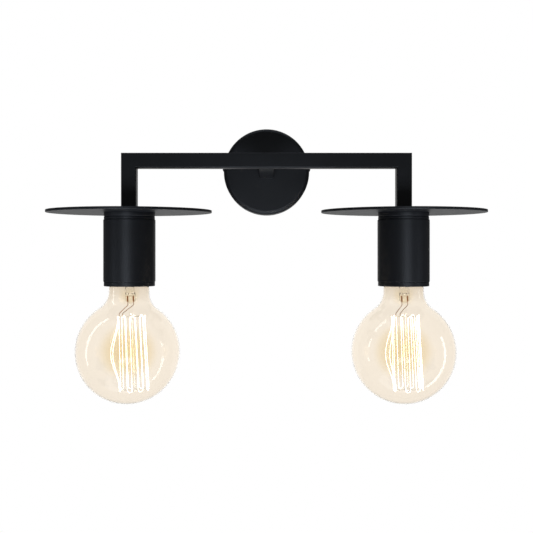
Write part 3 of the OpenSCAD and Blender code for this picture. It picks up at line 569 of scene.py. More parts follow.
def wire_tree():
    """Drawn wire: a round bar along each route of edges. The attribute stripe tells its two sides apart."""
    tree, given = start_tree("Drawn Wire", [
        ("Wire Radius", "Float"), ("Sides", "Int"), ("Material", "Material")])
    route = add(tree, "GeometryNodeMeshToCurve", {"Mesh": given["Geometry"]})
    even = add(tree, "GeometryNodeSetCurveNormal", {"Curve": route.outputs[0]}, mode="MINIMUM_TWIST")
    outline = add(tree, "GeometryNodeCurvePrimitiveCircle", {
        "Resolution": given["Sides"], "Radius": given["Wire Radius"]})
    share = add(tree, "GeometryNodeSplineParameter").outputs["Factor"]
    around = maths(tree, "MULTIPLY", share, 2 * math.pi)
    marked = add(tree, "GeometryNodeStoreNamedAttribute", {
        "Geometry": outline.outputs[0], "Name": "stripe", "Value": maths(tree, "SINE", around, 0.0)},
        data_type="FLOAT", domain="POINT")
    wire = add(tree, "GeometryNodeCurveToMesh", {
        "Curve": even.outputs[0], "Profile Curve": marked.outputs[0], "Fill Caps": True})
    return end_tree(tree, wire.outputs[0], given)


def route_mesh(name, *routes):
    """A mesh of edges along each route of points in millimetres."""
    mesh = bpy.data.meshes.new(name)
    points, edges = [], []
    for route in routes:
        edges += [(len(points) + i, len(points) + i + 1) for i in range(len(route) - 1)]
        points += [Vector(p) * MM for p in route]
    mesh.from_pydata(points, edges, [])
    return mesh


def drawn(name, wires, routes, radius, sides, finish, body, replaced=()):
    """A finished piece of round wire along each route, by the tree for drawn wire."""
    mesh = grown(name, route_mesh(name, *routes), wires, {
        "Wire Radius": radius * MM, "Sides": sides, "Material": finish})
    finished(name, mesh, body, None, replaced)


# Settings

class StageSettings(bpy.types.PropertyGroup):
    """Studio around the lamp."""

    camera_distance: FloatProperty(
        name="Camera Distance", description="From the camera to the middle of the crossbar",
        default=0.835, min=0.3, unit="LENGTH")
    camera_height: FloatProperty(
        name="Camera Height", description="Height of the camera against the middle of the crossbar",
        default=-0.0847, unit="LENGTH")
    backdrop: FloatVectorProperty(
        name="Backdrop", description="Colour of the studio behind the lamp", subtype="COLOR",
        default=(1.0, 1.0, 1.0), min=0, max=1)
    mirrored: FloatProperty(
        name="Mirrored Backdrop", description="Share of the white backdrop that reflections show",
        default=0.06, min=0, max=1)
    soft_light: FloatProperty(
        name="Soft Light", description="Strength of the light that comes from all round",
        default=0.55, min=0)
    panel_light: FloatProperty(
        name="Panel Light", description="Strength of the soft panels and strips", default=1.0, min=0)
    panel_colour: FloatVectorProperty(
        name="Panel Colour", description="Cool daylight of the soft panels", subtype="COLOR",
        default=linear("#E6F0FF"), min=0, max=1)


class MetalSettings(bpy.types.PropertyGroup):
    """Metalwork."""

    bead_radius: FloatProperty(
        name="Bead Radius", description="Radius of the weld bead between stem and crossbar",
        default=0.9 * MM, min=0.2 * MM, unit="LENGTH")
    bead_pitch: FloatProperty(
        name="Bead Pitch", description="Distance between two ripples of the weld bead",
        default=1.0 * MM, min=0.4 * MM, unit="LENGTH")
    nipple_pitch: FloatProperty(
        name="Nipple Pitch", description="Thread pitch of the hollow nipples",
        default=1.0 * MM, min=0.5 * MM, unit="LENGTH")
    screw_pitch: FloatProperty(
        name="Screw Pitch", description="Thread pitch of the small screws",
        default=0.5 * MM, min=0.3 * MM, unit="LENGTH")


class BulbSettings(bpy.types.PropertyGroup):
    """Bulbs and their filaments."""

    glow: FloatProperty(name="Glow", description="Strength of the filament's light", default=5.5, min=0)
    glass_middle: FloatVectorProperty(
        name="Glass Middle", description="Tint of one wall of the glass seen face on", subtype="COLOR",
        default=linear("#F5E8CD"), min=0, max=1)
    # The edge colour is paler than the middle: a painted reflection of the bright studio at the glass's rim
    glass_edge: FloatVectorProperty(
        name="Glass Edge", description="Tint of one wall of the glass towards its outline", subtype="COLOR",
        default=linear("#FCF6ED"), min=0, max=1)
    coil_radius: FloatProperty(
        name="Coil Radius", description="Radius of the coil that the filament wire is wound into",
        default=0.17 * MM, min=0.1 * MM, unit="LENGTH")
    coil_wire: FloatProperty(
        name="Coil Wire", description="Radius of the wire in the coil",
        default=0.06 * MM, min=0.02 * MM, unit="LENGTH")
    coil_pitch: FloatProperty(
        name="Coil Pitch", description="Distance between two turns of the coil",
        default=0.5 * MM, min=0.2 * MM, unit="LENGTH")
    coil_points: IntProperty(
        name="Points per Turn", description="Points along one turn of the coil", default=6, min=4, max=12)


# Stage

# The camera's lens in millimetres, and its shift, fitted to the photo's frame of 533 x 533
LENS = 61.82
FRAME_SHIFT = -0.0238
# The floor, in metres
FLOOR_R = 2.2
FLOOR_Z = -1.25
FLOOR_GLOW = 0.78


def seen_ray(tree, mirrored):
    """How much of the white backdrop a ray sees.

    The camera sees all of it, straight or through glass. A reflection sees the mirrored share, so that
    satin black stays black. Light on its way to a piece sees none.
    """
    ray = add(tree, "ShaderNodeLightPath")
    through = maths(tree, "GREATER_THAN", ray.outputs["Transmission Depth"], 0.5)
    straight = maths(tree, "LESS_THAN", ray.outputs["Diffuse Depth"], 0.5)
    behind_glass = maths(tree, "MULTIPLY", through, straight)
    looked = maths(tree, "MAXIMUM", ray.outputs["Is Camera Ray"], behind_glass)
    reflected = maths(tree, "MULTIPLY", ray.outputs["Is Glossy Ray"], mirrored)
    return maths(tree, "MAXIMUM", looked, reflected)


def soft_world(settings):
    """A pale studio.

    It is seen white. It lights the pieces softly, most from straight behind and a little more from below.
    """
    world = bpy.data.worlds.new("Pale studio")
    world.use_nodes = True
    tree = world.node_tree
    tree.nodes.clear()
    ways = add(tree, "ShaderNodeSeparateXYZ", {0: add(tree, "ShaderNodeTexCoord").outputs["Generated"]})
    # The light from behind sets in 37 degrees off the middle and is full 10 degrees off
    behind = add(tree, "ShaderNodeMapRange", {
        "Value": ways.outputs["Y"], "From Min": 0.80, "From Max": 0.985, "To Min": 0.0, "To Max": 0.5},
        interpolation_type="SMOOTHSTEP")
    height = add(tree, "ShaderNodeMapRange", {
        "Value": ways.outputs["Z"], "From Min": 0.5, "From Max": -0.7, "To Min": 0.03, "To Max": 0.14})
    around = maths(tree, "MULTIPLY", height.outputs[0], settings.soft_light)
    lit = add(tree, "ShaderNodeBackground", {
        "Color": (*settings.backdrop, 1), "Strength": maths(tree, "ADD", behind.outputs[0], around)})
    seen = add(tree, "ShaderNodeBackground", {"Color": (*settings.backdrop, 1), "Strength": 1.0})
    both = add(tree, "ShaderNodeMixShader", {
        0: seen_ray(tree, settings.mirrored), 1: lit.outputs[0], 2: seen.outputs[0]})
    add(tree, "ShaderNodeOutputWorld", {"Surface": both.outputs[0]})
    bpy.context.scene.world = world


def panel(name, place, aim, along, size, radiance, colour, only=None, past=None):
    """A soft rectangular lamp that looks at a point. Its long side lies as near to along as it can.

    A collection says what it lights, and another what can stand in its way. Without one, everything does.
    """
    light = bpy.data.lights.new(name, "AREA")
    light.color = colour
    light.shape = "RECTANGLE"
    light.size, light.size_y = size
    light.energy = radiance * math.pi * size[0] * size[1]
    lamp = bpy.data.objects.new(name, light)
    bpy.context.scene.collection.objects.link(lamp)
    back = (Vector(place) - Vector(aim)).normalized()
    across = (Vector(along) - back * back.dot(Vector(along))).normalized()
    turn = Matrix((across, back.cross(across), back)).transposed().to_4x4()
    lamp.matrix_world = Matrix.Translation(place) @ turn
    lamp.visible_camera = False
    lamp.visible_transmission = False
    if only is not None:
        lamp.light_linking.receiver_collection = only
    if past is not None:
        lamp.light_linking.blocker_collection = past


def light_lamp(settings):
    """Sets up the soft panels and strips. Places and sizes are in metres."""
    y = BAR_Y * MM
    bright = settings.panel_light
    cool = settings.panel_colour
    across = (1, 0, 0)
    # Each lamp's shade and cup have panels of their own, at its side alone, so that the sides of the
    # cups that face each other stay dark. The front panels light everything but these
    rest = bpy.data.collections.new("All but the lamps' metal")
    for word, side in SIDES:
        own = bpy.data.collections.new("Metal of the " + word + " lamp")
        for kind in ("shade_", "cup_cap_", "lock_ring_", "cup_sleeve_"):
            own.objects.link(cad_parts[kind + word])
            rest.objects.link(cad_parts[kind + word])
        for name, (out, depth, height), aim_z, width, radiance, lit in (
                ("Front panel", (0.17, -1.25, -0.42), -0.08, (0.26, 0.24), 6.6, rest),
                ("Narrow panel", (0.20, -1.14, -0.76), -0.08, (0.24, 0.24), 14.0, own),
                ("Outer panel", (0.26, -1.10, -0.33), -0.10, (0.50, 0.50), 2.2, own),
                ("Side panel", (1.00, -0.60, -0.50), -0.10, (0.60, 0.60), 1.2, own)):
            panel(name, (side * out, depth, height), (side * LAMP_X * MM, y, aim_z), across, width,
                  radiance * bright, cool, lit)
    for link in rest.collection_objects:
        link.light_linking.link_state = "EXCLUDE"
    panel("Low panel", (0, -0.5, -1.1), (0, y, -0.08), across, (1.6, 1.2), 1.2 * bright, cool)
    panel("Top panel", (0, -0.3, 1.3), (0, y, -0.05), across, (1.6, 1.0), 0.7 * bright, cool)
    # Only the globes show these: thin strips at their sides draw two bright arcs on each, and the
    # panel behind them keeps their rims pale. Nothing but the wall bracket can stand in their way
    globes = bpy.data.collections.new("Globes")
    wall = bpy.data.collections.new("Wall side")
    wall.objects.link(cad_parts["wall_bracket"])
    for name, place, along, width, radiance in (
            ("Left strip", (-0.915, y, 0.25), (0.91, 0, 1.62), (1.86, 0.10), 6.0),
            ("Right strip", (1.0, y, -0.47), (0.44, 0, 1.48), (1.54, 0.12), 7.0),
            ("Rim panel", (0, 1.6, -0.17), across, (4.6, 4.6), 0.6)):
        panel(name, place, (0, y, -0.17), along, width, radiance * bright, (1, 1, 1), globes, wall)


def lay_floor(settings):
    """Lays a round painted floor under the lamp."""
    sheet = bmesh.new()
    bmesh.ops.create_circle(sheet, cap_ends=True, segments=96, radius=FLOOR_R)
    bmesh.ops.translate(sheet, verts=sheet.verts, vec=(0, 0, FLOOR_Z))
    mesh = bpy.data.meshes.new("Floor")
    sheet.to_mesh(mesh)
    sheet.free()
    floor = bpy.data.objects.new("Floor", mesh)
    bpy.context.scene.collection.objects.link(floor)
    made, tree, surface = start_material("Pale floor paint")
    surface.inputs["Roughness"].default_value = 0.8
    tree.links.new(mixed(tree, blotches(tree, 0.2, 0, 1), "#F4F4F3", "#F8F8F7"),
                   surface.inputs["Base Color"])
    # This makes it pale to the camera, and by the mirrored share in reflections. It lights no piece
    surface.inputs["Emission Color"].default_value = (1, 1, 1, 1)
    pale = maths(tree, "MULTIPLY", seen_ray(tree, settings.mirrored), FLOOR_GLOW)
    tree.links.new(pale, surface.inputs["Emission Strength"])
    mesh.materials.append(made)


class WALLLAMP_OT_stage(bpy.types.Operator):
    """Camera, pale studio, floor and soft panels"""

    bl_idname = "wall_lamp.stage"
    bl_label = "Stage"

    def execute(self, context):
        scene = context.scene
        settings = scene.wall_lamp_stage
        camera = bpy.data.objects.new("Camera", bpy.data.cameras.new("Camera"))
        scene.collection.objects.link(camera)
        camera.location = (0, BAR_Y * MM - settings.camera_distance, settings.camera_height)
        camera.rotation_euler = (math.pi / 2, 0, 0)
        camera.data.sensor_width = 36
        camera.data.lens = LENS
        camera.data.shift_y = FRAME_SHIFT
        camera.data.clip_start = 0.01
        scene.camera = camera
        scene.view_settings.view_transform = "Standard"
        soft_world(settings)
        light_lamp(settings)
        lay_floor(settings)
        return {"FINISHED"}


class WALLLAMP_OT_metalwork(bpy.types.Operator):
    """Powder-coated cover, tubes, shades and cups"""

    bl_idname = "wall_lamp.metalwork"
    bl_label = "Metalwork"

    def execute(self, context):
        settings = context.scene.wall_lamp_metal
        coat = powder_coat()
        painted = ("stem_tube", "crossbar", "drop_tube_", "shade_", "cup_", "lock_ring_")
        coated(coat, "canopy", *(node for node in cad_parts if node.startswith(painted)))

        # Two weld beads join the stem to the back of the crossbar, under the powder. The tube's corners
        # are round, so a bead ends 1.8 mm before them
        back_y = BAR_Y + TUBE_W / 2
        reach = TUBE_W / 2 - 1.8
        routes = [[(side * TUBE_W / 2, back_y, z) for z in (-reach, reach)] for _, side in SIDES]
        mesh = grown("Weld_Beads", route_mesh("Weld_Beads", *routes), bead_tree(), {
            "Bead Radius": settings.bead_radius, "Ripple Pitch": settings.bead_pitch, "Material": coat})
        finished("Weld_Beads", mesh, "lamp", None, sharp=60)
        return {"FINISHED"}


# Fixings

def screw_blank(name, root, length, head_d, head_h):
    """A screw without slot and thread: dome head on z = 0, shank below, corners slightly broken."""
    head_r = head_d / 2
    dome_r = (head_r ** 2 + head_h ** 2) / (2 * head_h)
    half = math.degrees(math.asin(min(1, head_r / dome_r)))
    sheet = bmesh.new()
    outline = [(0, -length), (root - 0.3, -length), (root, -length + 0.3), (root, 0), (head_r - 0.1, 0)]
    outline += [(head_r, 0.1)] + arc(0, head_h - dome_r, dome_r, 90 - half + 4, 90, 10)
    turned(sheet, outline, 40)
    return bpy.data.objects.new(name, solid_mesh(name, sheet))


def screws(name, places, diameter, length, head_d, head_h, slot_w, finish):
    """Like screws as one mesh. A place is the point under a head and the way that the head faces."""
    pitch = bpy.context.scene.wall_lamp_metal.screw_pitch / MM
    root = diameter / 2 - RIDGE * pitch
    points = bpy.data.meshes.new(name)
    points.from_pydata([Vector(p) * MM for p, _ in places], [], [])
    facing = points.attributes.new("facing", "FLOAT_VECTOR", "POINT")
    facing.data.foreach_set("vector", [c for _, way in places for c in way])
    blank = screw_blank(name, root, length, head_d, head_h)
    mesh = grown(name, points, screw_tree(), {
        "Blank": blank, "Head Height": head_h * MM, "Slot Width": slot_w * MM,
        "Slot Depth": 0.55 * head_h * MM, "Core Radius": root * MM, "Pitch": pitch * MM,
        "Length": (length - 0.4) * MM, "Seed": 3, "Material": finish})
    bpy.data.objects.remove(blank)
    return mesh


def nipple(name, node, threads, finish, place):
    """Hollow threaded nipple for a solid one. It is made along z and moved to its place."""
    low, high = span(node)
    size = high - low
    length, radius = max(size), min(size) / 2
    pitch = bpy.context.scene.wall_lamp_metal.nipple_pitch / MM
    root = radius - RIDGE * pitch
    sheet = bmesh.new()
    turned(sheet, [(NIPPLE_BORE_R, 0), (root - 0.3, 0), (root, 0.4), (root, length - 0.4),
                   (root - 0.3, length), (NIPPLE_BORE_R, length)], 64)
    mesh = grown(name, solid_mesh(name, sheet), threads, {
        "Core Radius": root * MM, "Pitch": pitch * MM, "Start": 0.6 * MM, "Length": (length - 1.2) * MM,
        "Material": finish})
    mesh.transform(place)
    finished(name, mesh, "lamp", None, [node])


class WALLLAMP_OT_fixings(bpy.types.Operator):
    """Wall bracket, terminal block, screws, nipples, nuts and inserts"""

    bl_idname = "wall_lamp.fixings"
    bl_label = "Fixings"

    def execute(self, context):
        # Rolled strap, brushed lengthways: pale grey with long streaks
        brushed = bare_metal("Brushed zinc steel", "#B4B5B4", "#9FA1A1", 0.34, brush=(0.08, 1, 1))
        # Bright zinc plate: a cool, slightly cloudy shine on small parts
        zinc = bare_metal("Zinc-plated steel", "#BDBEBC", "#A3A5A4", 0.27)
        # Turned brass: warm yellow and bright
        brass = bare_metal("Turned brass", "#C8A55E", "#B18C48", 0.26)
        # Pressed and fired steatite: off-white with a dull skin
        steatite = moulded("Steatite ceramic", "#E9E4DA", "#DFD8CB", 0.35, depth=0.000008, ior=1.6)
        # Oxide on steel, oiled: near black with a soft shine
        black = moulded("Black-oxide screw", "#1A1B1D", "#232427", 0.38, grain=0.0003)
        coated(brushed, "wall_bracket")
        coated(zinc, "stem_insert", "drop_insert_left", "drop_insert_right", "stem_washer", "stem_nut",
               "lamp_washers", "lamp_nuts")
        coated(brass, "pole_tubes")
        coated(steatite, "terminal_block")

        # The sizes of a screw are its diameter, length, head diameter, head height and slot width
        y, z = middle("canopy_screws", Y), middle("canopy_screws", Z)
        seat = span("canopy_screws")[1].x - SIDE_HEAD_H
        mesh = screws("Canopy_Screws", [((side * seat, y, z), (side, 0, 0)) for _, side in SIDES],
                      SIDE_SCREW_D, SIDE_SCREW_LEN, extent("canopy_screws", Z), SIDE_HEAD_H, 0.8, black)
        finished("Canopy_Screws", mesh, "lamp", None, ["canopy_screws"])

        z, seat = middle("block_screws", Z), span("block_screws")[0].y + 1
        mesh = screws("Block_Screws", [((side * POLE_PITCH / 2, seat, z), (0, -1, 0)) for _, side in SIDES],
                      2.5, -seat, extent("block_screws", Z), 1, 0.6, zinc)
        finished("Block_Screws", mesh, "lamp", None, ["block_screws"])

        x, z = middle("earth_screw", X), span("earth_screw")[0].z + LUG_D / 2
        mesh = screws("Earth_Screw", [((x, -STRAP_T - LUG_T, z), (0, -1, 0))],
                      4, STRAP_T + LUG_T, 6.5, 2, 1, zinc)
        finished("Earth_Screw", mesh, "lamp", None, ["earth_screw"])

        # Ring lug under the earth screw's head: ring, tongue and the barrel that grips the wire
        place = Matrix.Translation((x, -STRAP_T, z)) @ Matrix.Rotation(math.pi / 2, 4, "X")
        edge = LUG_D / 2
        sheet = bmesh.new()
        turned(sheet, [(2.1, 0), (edge - 0.1, 0), (edge, 0.1), (edge, LUG_T - 0.1), (edge - 0.1, LUG_T),
                       (2.1, LUG_T)], 48, place)
        tongue = [(-1.9, 3.2), (1.9, 3.2), (1.4, 4.4), (1.4, 5.3), (-1.4, 5.3), (-1.4, 4.4)]
        lower, upper = ([sheet.verts.new(place @ Vector((*corner, height))) for corner in tongue]
                        for height in (0.05, LUG_T - 0.05))
        ring_faces(sheet, lower, upper)
        sheet.faces.new(lower[::-1])
        sheet.faces.new(upper)
        barrel = place @ Matrix.Translation((0, 5.2, LUG_T + 1.05)) @ Matrix.Rotation(-math.pi / 2, 4, "X")
        turned(sheet, [(1.02, 0), (1.45, 0), (1.5, 0.1), (1.5, 1.5), (1.38, 2.0), (1.5, 2.5), (1.5, 3.9),
                       (1.45, 4), (1.02, 4)], 32, barrel)
        # Hot-tinned copper: silvery and smooth
        tinned = bare_metal("Tinned copper", "#C5C6C6", "#ADB0B1", 0.22)
        finished("Earth_Lug", solid_mesh("Earth_Lug", sheet), "lamp", tinned, sharp=40)

        threads = thread_tree()
        back = span("stem_nipple")[1].y
        nipple("Stem_Nipple", "stem_nipple", threads, zinc,
               Matrix.Translation((0, back * MM, 0)) @ Matrix.Rotation(math.pi / 2, 4, "X"))
        for word, side in SIDES:
            nipple("Lamp_Nipple_" + word, "lamp_nipple_" + word, threads, zinc,
                   Matrix.Translation(Vector((side * LAMP_X, BAR_Y, LAMP_NIPPLE_END_Z)) * MM))
        return {"FINISHED"}


# Lampholders

def gripped(radius, height, angle):
    """Fine upright ribs round the skirt."""
    if radius < HOLDER_R - 0.1 or not HOLDER_Z - 25.5 < height < HOLDER_Z + 6.5:
        return radius, height
    return radius - GRIP_DEPTH * (0.5 - 0.5 * math.cos(GRIP_RIBS * angle)), height


def skirt_outline():
    """Outline of the lampholder's skirt: outside, open top, step for the insert, and lip."""
    top = HOLDER_TOP_Z
    lip_r = SHELL_R + SHELL_T + 0.2
    outline = [(lip_r, HOLDER_END_Z), (HOLDER_R - 1.2, HOLDER_END_Z),
               (HOLDER_R - 0.4, HOLDER_END_Z + 0.3), (HOLDER_R - 0.1, HOLDER_END_Z + 1)]
    outline += [(HOLDER_R, HOLDER_Z + z) for z in (-27, -26, -25, -24, -10, 5, 6, 7, 8.6)]
    outline += [(HOLDER_R - 0.4, top), (SKIRT_BORE_R, top), (SKIRT_BORE_R, HOLDER_Z + 2),
                (SKIRT_WAIST_R, HOLDER_Z + 2), (SKIRT_WAIST_R, HOLDER_END_Z + 2), (lip_r, HOLDER_END_Z + 2)]
    return outline


def shell_outline():
    """Outline of the lampholder's screw shell."""
    steps = 84
    rise = SHELL_TOP_Z - SHELL_Z
    heights = [SHELL_Z + rise * i / steps for i in range(steps + 1)]
    return [(SHELL_R + SHELL_T, z) for z in heights] + [(SHELL_R, z) for z in reversed(heights)]


def shell_thread(radius, height, angle):
    """The shell's thread follows the cap's, so the cap turns in it without touching."""
    # It fades over 1.5 mm at both ends
    share = min(1, max(0, (height - SHELL_Z - 0.6) / 1.5)) * min(1, max(0, (SHELL_TOP_Z - 2 - height) / 1.5))
    wave = math.cos(2 * math.pi * height / THREAD_PITCH - angle) - 1
    return radius + THREAD_DEPTH * share * wave, height


class WALLLAMP_OT_lampholders(bpy.types.Operator):
    """Lampholders: ribbed skirts, domes, ceramic inserts, screw shells, contacts and terminals"""

    bl_idname = "wall_lamp.lampholders"
    bl_label = "Lampholders"

    def execute(self, context):
        # Pressed phenolic resin: a deep black with the soft shine of its mould
        resin = moulded("Black phenolic resin", "#18181A", "#201F21", 0.30, grain=0.0008)
        # Glazed porcelain: warm white and glossy
        ceramic = moulded("Glazed porcelain", "#F0ECE3", "#E6E0D4", 0.16, ior=1.55)
        # Thin rolled brass: a duller yellow than turned brass
        brass = bare_metal("Rolled sleeve brass", "#BFA063", "#A98748", 0.28)
        # Rolled phosphor bronze: redder than brass
        bronze = bare_metal("Phosphor bronze spring", "#C98F5E", "#B57B4B", 0.25)
        # Turned terminals: bright yellow
        turned_brass = bare_metal("Turned terminal brass", "#C4A25C", "#AE8B48", 0.24)
        coated(resin, "holder_dome_left", "holder_dome_right")
        coated(ceramic, "holder_insert_left", "holder_insert_right")
        coated(bronze, "centre_contact_left", "centre_contact_right")
        for word, side in SIDES:
            lathed("Holder_Skirt_" + word, skirt_outline(), GRIP_RIBS * 6, at_lamp(side), "lamp",
                   resin, "holder_skirt_" + word, gripped)
            lathed("Threaded_Sleeve_" + word, shell_outline(), 128, at_lamp(side), "lamp", brass,
                   "screw_shell_" + word, shell_thread, sharp=50)

        # Terminals: a block with rounded edges, and a clamp screw on its outer side
        low, high = span("terminals")
        height = high.z - low.z
        sheet = bmesh.new()
        places = []
        for _, side in SIDES:
            for pole in (-1, 1):
                x = side * LAMP_X + pole * TERMINAL_X
                made = bmesh.ops.create_cube(sheet, size=1)["verts"]
                bmesh.ops.scale(sheet, vec=(TERMINAL_W, high.y - low.y, height), verts=made)
                bmesh.ops.translate(sheet, vec=(x, BAR_Y, low.z + height / 2), verts=made)
                places.append(((x + pole * TERMINAL_W / 2, BAR_Y, low.z + height / 2), (pole, 0, 0)))
        bmesh.ops.bevel(sheet, geom=sheet.edges[:], offset=0.35, segments=3, profile=0.5, affect="EDGES")
        finished("Terminals", solid_mesh("Terminals", sheet), "lamp", turned_brass,
                 ["terminals"])
        mesh = screws("Terminal_Screws", places, 2.5, 1.6, 3.4, 1.2, 0.6, turned_brass)
        finished("Terminal_Screws", mesh, "lamp", None)
        return {"FINISHED"}


# Wiring

def trimmed(points, start, end):
    """Stretch of a route between two distances along it."""
    found, along = [], 0.0
    for first, second in zip(points, points[1:]):
        step = (second - first).length
        for at in (start, end):
            if along < at <= along + step:
                found.append(first.lerp(second, (at - along) / step))
        if start < along + step < end:
            found.append(second.copy())
        along += step
    return found if start > 0 else [points[0].copy()] + found


def length_of(points):
    """Length of a route."""
    return sum((b - a).length for a, b in zip(points, points[1:]))


def twisted(points, strand_r, lay):
    """Routes of seven strands, six of them laid round the first, along a short straight stretch.

    The lay is the length of one full turn. The strands stand 1% clear of each other.
    """
    way = (points[-1] - points[0]).normalized()
    side = way.orthogonal().normalized()
    up = way.cross(side)
    length = length_of(points)
    routes = [[points[0], points[-1]]]
    steps = 12
    for strand in range(6):
        route = []
        for i in range(steps + 1):
            along = length * i / steps
            turn = math.radians(60 * strand) + 2 * math.pi * along / lay
            route.append(points[0] + way * along
                         + (side * math.cos(turn) + up * math.sin(turn)) * 2.02 * strand_r)
        routes.append(route)
    return routes


def lamp_route(side, live):
    """A lamp wire's way from its lampholder through the tubes to the terminal block."""
    up = 1 if live else -1
    half = WIRE_PITCH / 2
    stem_x = side * half
    layer_y = LIVE_Y if live else LIVE_Y + WIRE_LAYER
    block_x = -up * POLE_PITCH + stem_x
    bend = WIRE_PITCH * math.tan(math.radians(22.5))
    climb = CLIMB_Z + (0 if side == -up else bend)
    loop_z = CLIMB_Z + bend + POLE_PITCH + 6
    terminal_x = side * (LAMP_X + up * TERMINAL_X)
    lamp_x = side * (LAMP_X + up * half)
    return rounded_route([
        (terminal_x, BAR_Y, TERMINAL_TOP_Z), (terminal_x, BAR_Y, TERMINAL_TOP_Z + 2.5),
        (lamp_x, BAR_Y, LAMP_NIPPLE_END_Z - 2.2), (lamp_x, BAR_Y, up * half), (stem_x, BAR_Y, up * half),
        (stem_x, layer_y, up * half), (stem_x, layer_y, climb), (block_x, layer_y, climb + POLE_PITCH),
        (block_x, layer_y, loop_z), (block_x, BLOCK_Y, loop_z), (block_x, BLOCK_Y, WIRE_END_Z),
    ], WIRE_BEND_R, BEND_STEPS)


def earth_route():
    """The earth wire's way from the middle pole to its lug."""
    back_y = -STRAP_T - LUG_T - WIRE_D / 2 - 0.05
    x = middle("earth_screw", X)
    z = span("earth_screw")[0].z + LUG_D
    low_z, high_z = BLOCK_H / 2 + 3, BLOCK_H / 2 + 6
    return rounded_route([
        (0, BLOCK_Y, WIRE_END_Z), (0, BLOCK_Y, low_z), (0, back_y, high_z),
        (x - 2, back_y, high_z), (x, back_y, low_z), (x, back_y, z + 0.5)], WIRE_BEND_R, BEND_STEPS)


def two_colours(name, first, second):
    """PVC extruded in two colours: a stripe of each along the wire, by the wire's own attribute."""
    made, tree, surface = start_material(name)
    surface.inputs["IOR"].default_value = 1.53
    around = add(tree, "ShaderNodeAttribute", attribute_name="stripe").outputs["Fac"]
    stripe = maths(tree, "GREATER_THAN", around, 0.1)
    tree.links.new(mixed(tree, stripe, first, second), surface.inputs["Base Color"])
    tree.links.new(blotches(tree, 0.002, 0.30, 0.40), surface.inputs["Roughness"])
    return made


class WALLLAMP_OT_wiring(bpy.types.Operator):
    """Wires from the lampholders to the terminal block, and the earth wire"""

    bl_idname = "wall_lamp.wiring"
    bl_label = "Wiring"

    def execute(self, context):
        wires = wire_tree()
        # Bare drawn copper: orange-red and bright
        copper = bare_metal("Bare copper strands", "#C77B45", "#B06835", 0.30)
        # Extruded PVC: coloured all through, smooth and half matt
        brown = moulded("Brown PVC", "#5A3420", "#4E2C1A", 0.34, ior=1.53)
        blue = moulded("Blue PVC", "#1E4C9A", "#1A4389", 0.34, ior=1.53)
        striped = two_colours("Green and yellow PVC", "#3F8F2E", "#D9C62B")
        live, neutral = ([lamp_route(side, is_live) for _, side in SIDES] for is_live in (True, False))
        # The last two numbers are the bare lengths at a wire's two ends, in millimetres
        for name, slot, finish, routes, first, last in (
                ("Live_Wires", "live_cover", brown, live, 1.2, 5.0),
                ("Neutral_Wires", "neutral_cover", blue, neutral, 1.2, 5.0),
                ("Earth_Wire", "earth_cover", striped, [earth_route()], 5.0, 1.0)):
            strands, covers = [], []
            for route in routes:
                length = length_of(route)
                covers.append(trimmed(route, first, length - last))
                strands += twisted(trimmed(route, 0, first), STRAND_R, STRAND_LAY)
                strands += twisted(trimmed(route, length - last, length), STRAND_R, STRAND_LAY)
            drawn(name, wires, covers, WIRE_D / 2, 20, finish, "lamp", [name.lower()])
            drawn(name + "_Strands", wires, strands, STRAND_R, 8, copper, "lamp")
        return {"FINISHED"}


# Bulbs

def glass_side(inset):
    """Outline of the glass from its mouth to the globe's end, moved inwards, about the globe's middle."""
    neck_x = NECK_R - SHOULDER_R
    mouth_x = CAP_R - 0.8 - inset
    begin = math.degrees(math.acos((mouth_x - neck_x) / (SHOULDER_R - inset)))
    fillet_x = NECK_R + FILLET_R
    fillet_z = math.sqrt((GLOBE_R + FILLET_R) ** 2 - fillet_x ** 2)
    meet = math.degrees(math.atan2(fillet_z, fillet_x))
    return (
        [(mouth_x, NECK_END_Z - GLOBE_Z)]
        + arc(neck_x, SHOULDER_Z - GLOBE_Z, SHOULDER_R - inset, begin, 0, 14)
        + arc(fillet_x, fillet_z, FILLET_R + inset, 180, 180 + meet, 24)
        + arc(0, 0, GLOBE_R - inset, meet - 1.5, -90, 90)
    )


def leaning(side):
    """Place of the bulb's inside, which leans a little on the rim of the glass neck."""
    return (at_lamp(side, NECK_END_Z) @ Matrix.Rotation(math.radians(-MOUNT_LEAN), 4, "Y")
            @ Matrix.Translation((0, 0, -NECK_END_Z)))


def hook_r(k):
    """Distance of a hook from the mount's axis. Even hooks are at the top of the cage."""
    return CAGE_TOP_R if k % 2 == 0 else CAGE_BOTTOM_R


def hook_z(k):
    """Height of a hook."""
    return CAGE_Z if k % 2 == 0 else CAGE_END_Z


def hook_turn(k):
    """Angle of a hook round the mount's axis, in degrees."""
    return FIRST_TURN + STRAND_TURN * k


def on_cage(radius, angle, height):
    """A point of the cage, its angle in degrees."""
    return Vector((radius * math.cos(math.radians(angle)), radius * math.sin(math.radians(angle)), height))


def turn_half(k):
    """Half the angle that the filament's turn at a hook takes up, in degrees."""
    return math.degrees(HAIRPIN_R / hook_r(k))


def turn_point(k, share):
    """A point of the filament's turn at a hook, from -1 at its start to 1 at its end."""
    into = -1 if k % 2 == 0 else 1
    bend = math.radians(90 * share)
    return (hook_r(k), hook_turn(k) + turn_half(k) * math.sin(bend),
            hook_z(k) + into * HAIRPIN_R * (1 - math.cos(bend)))


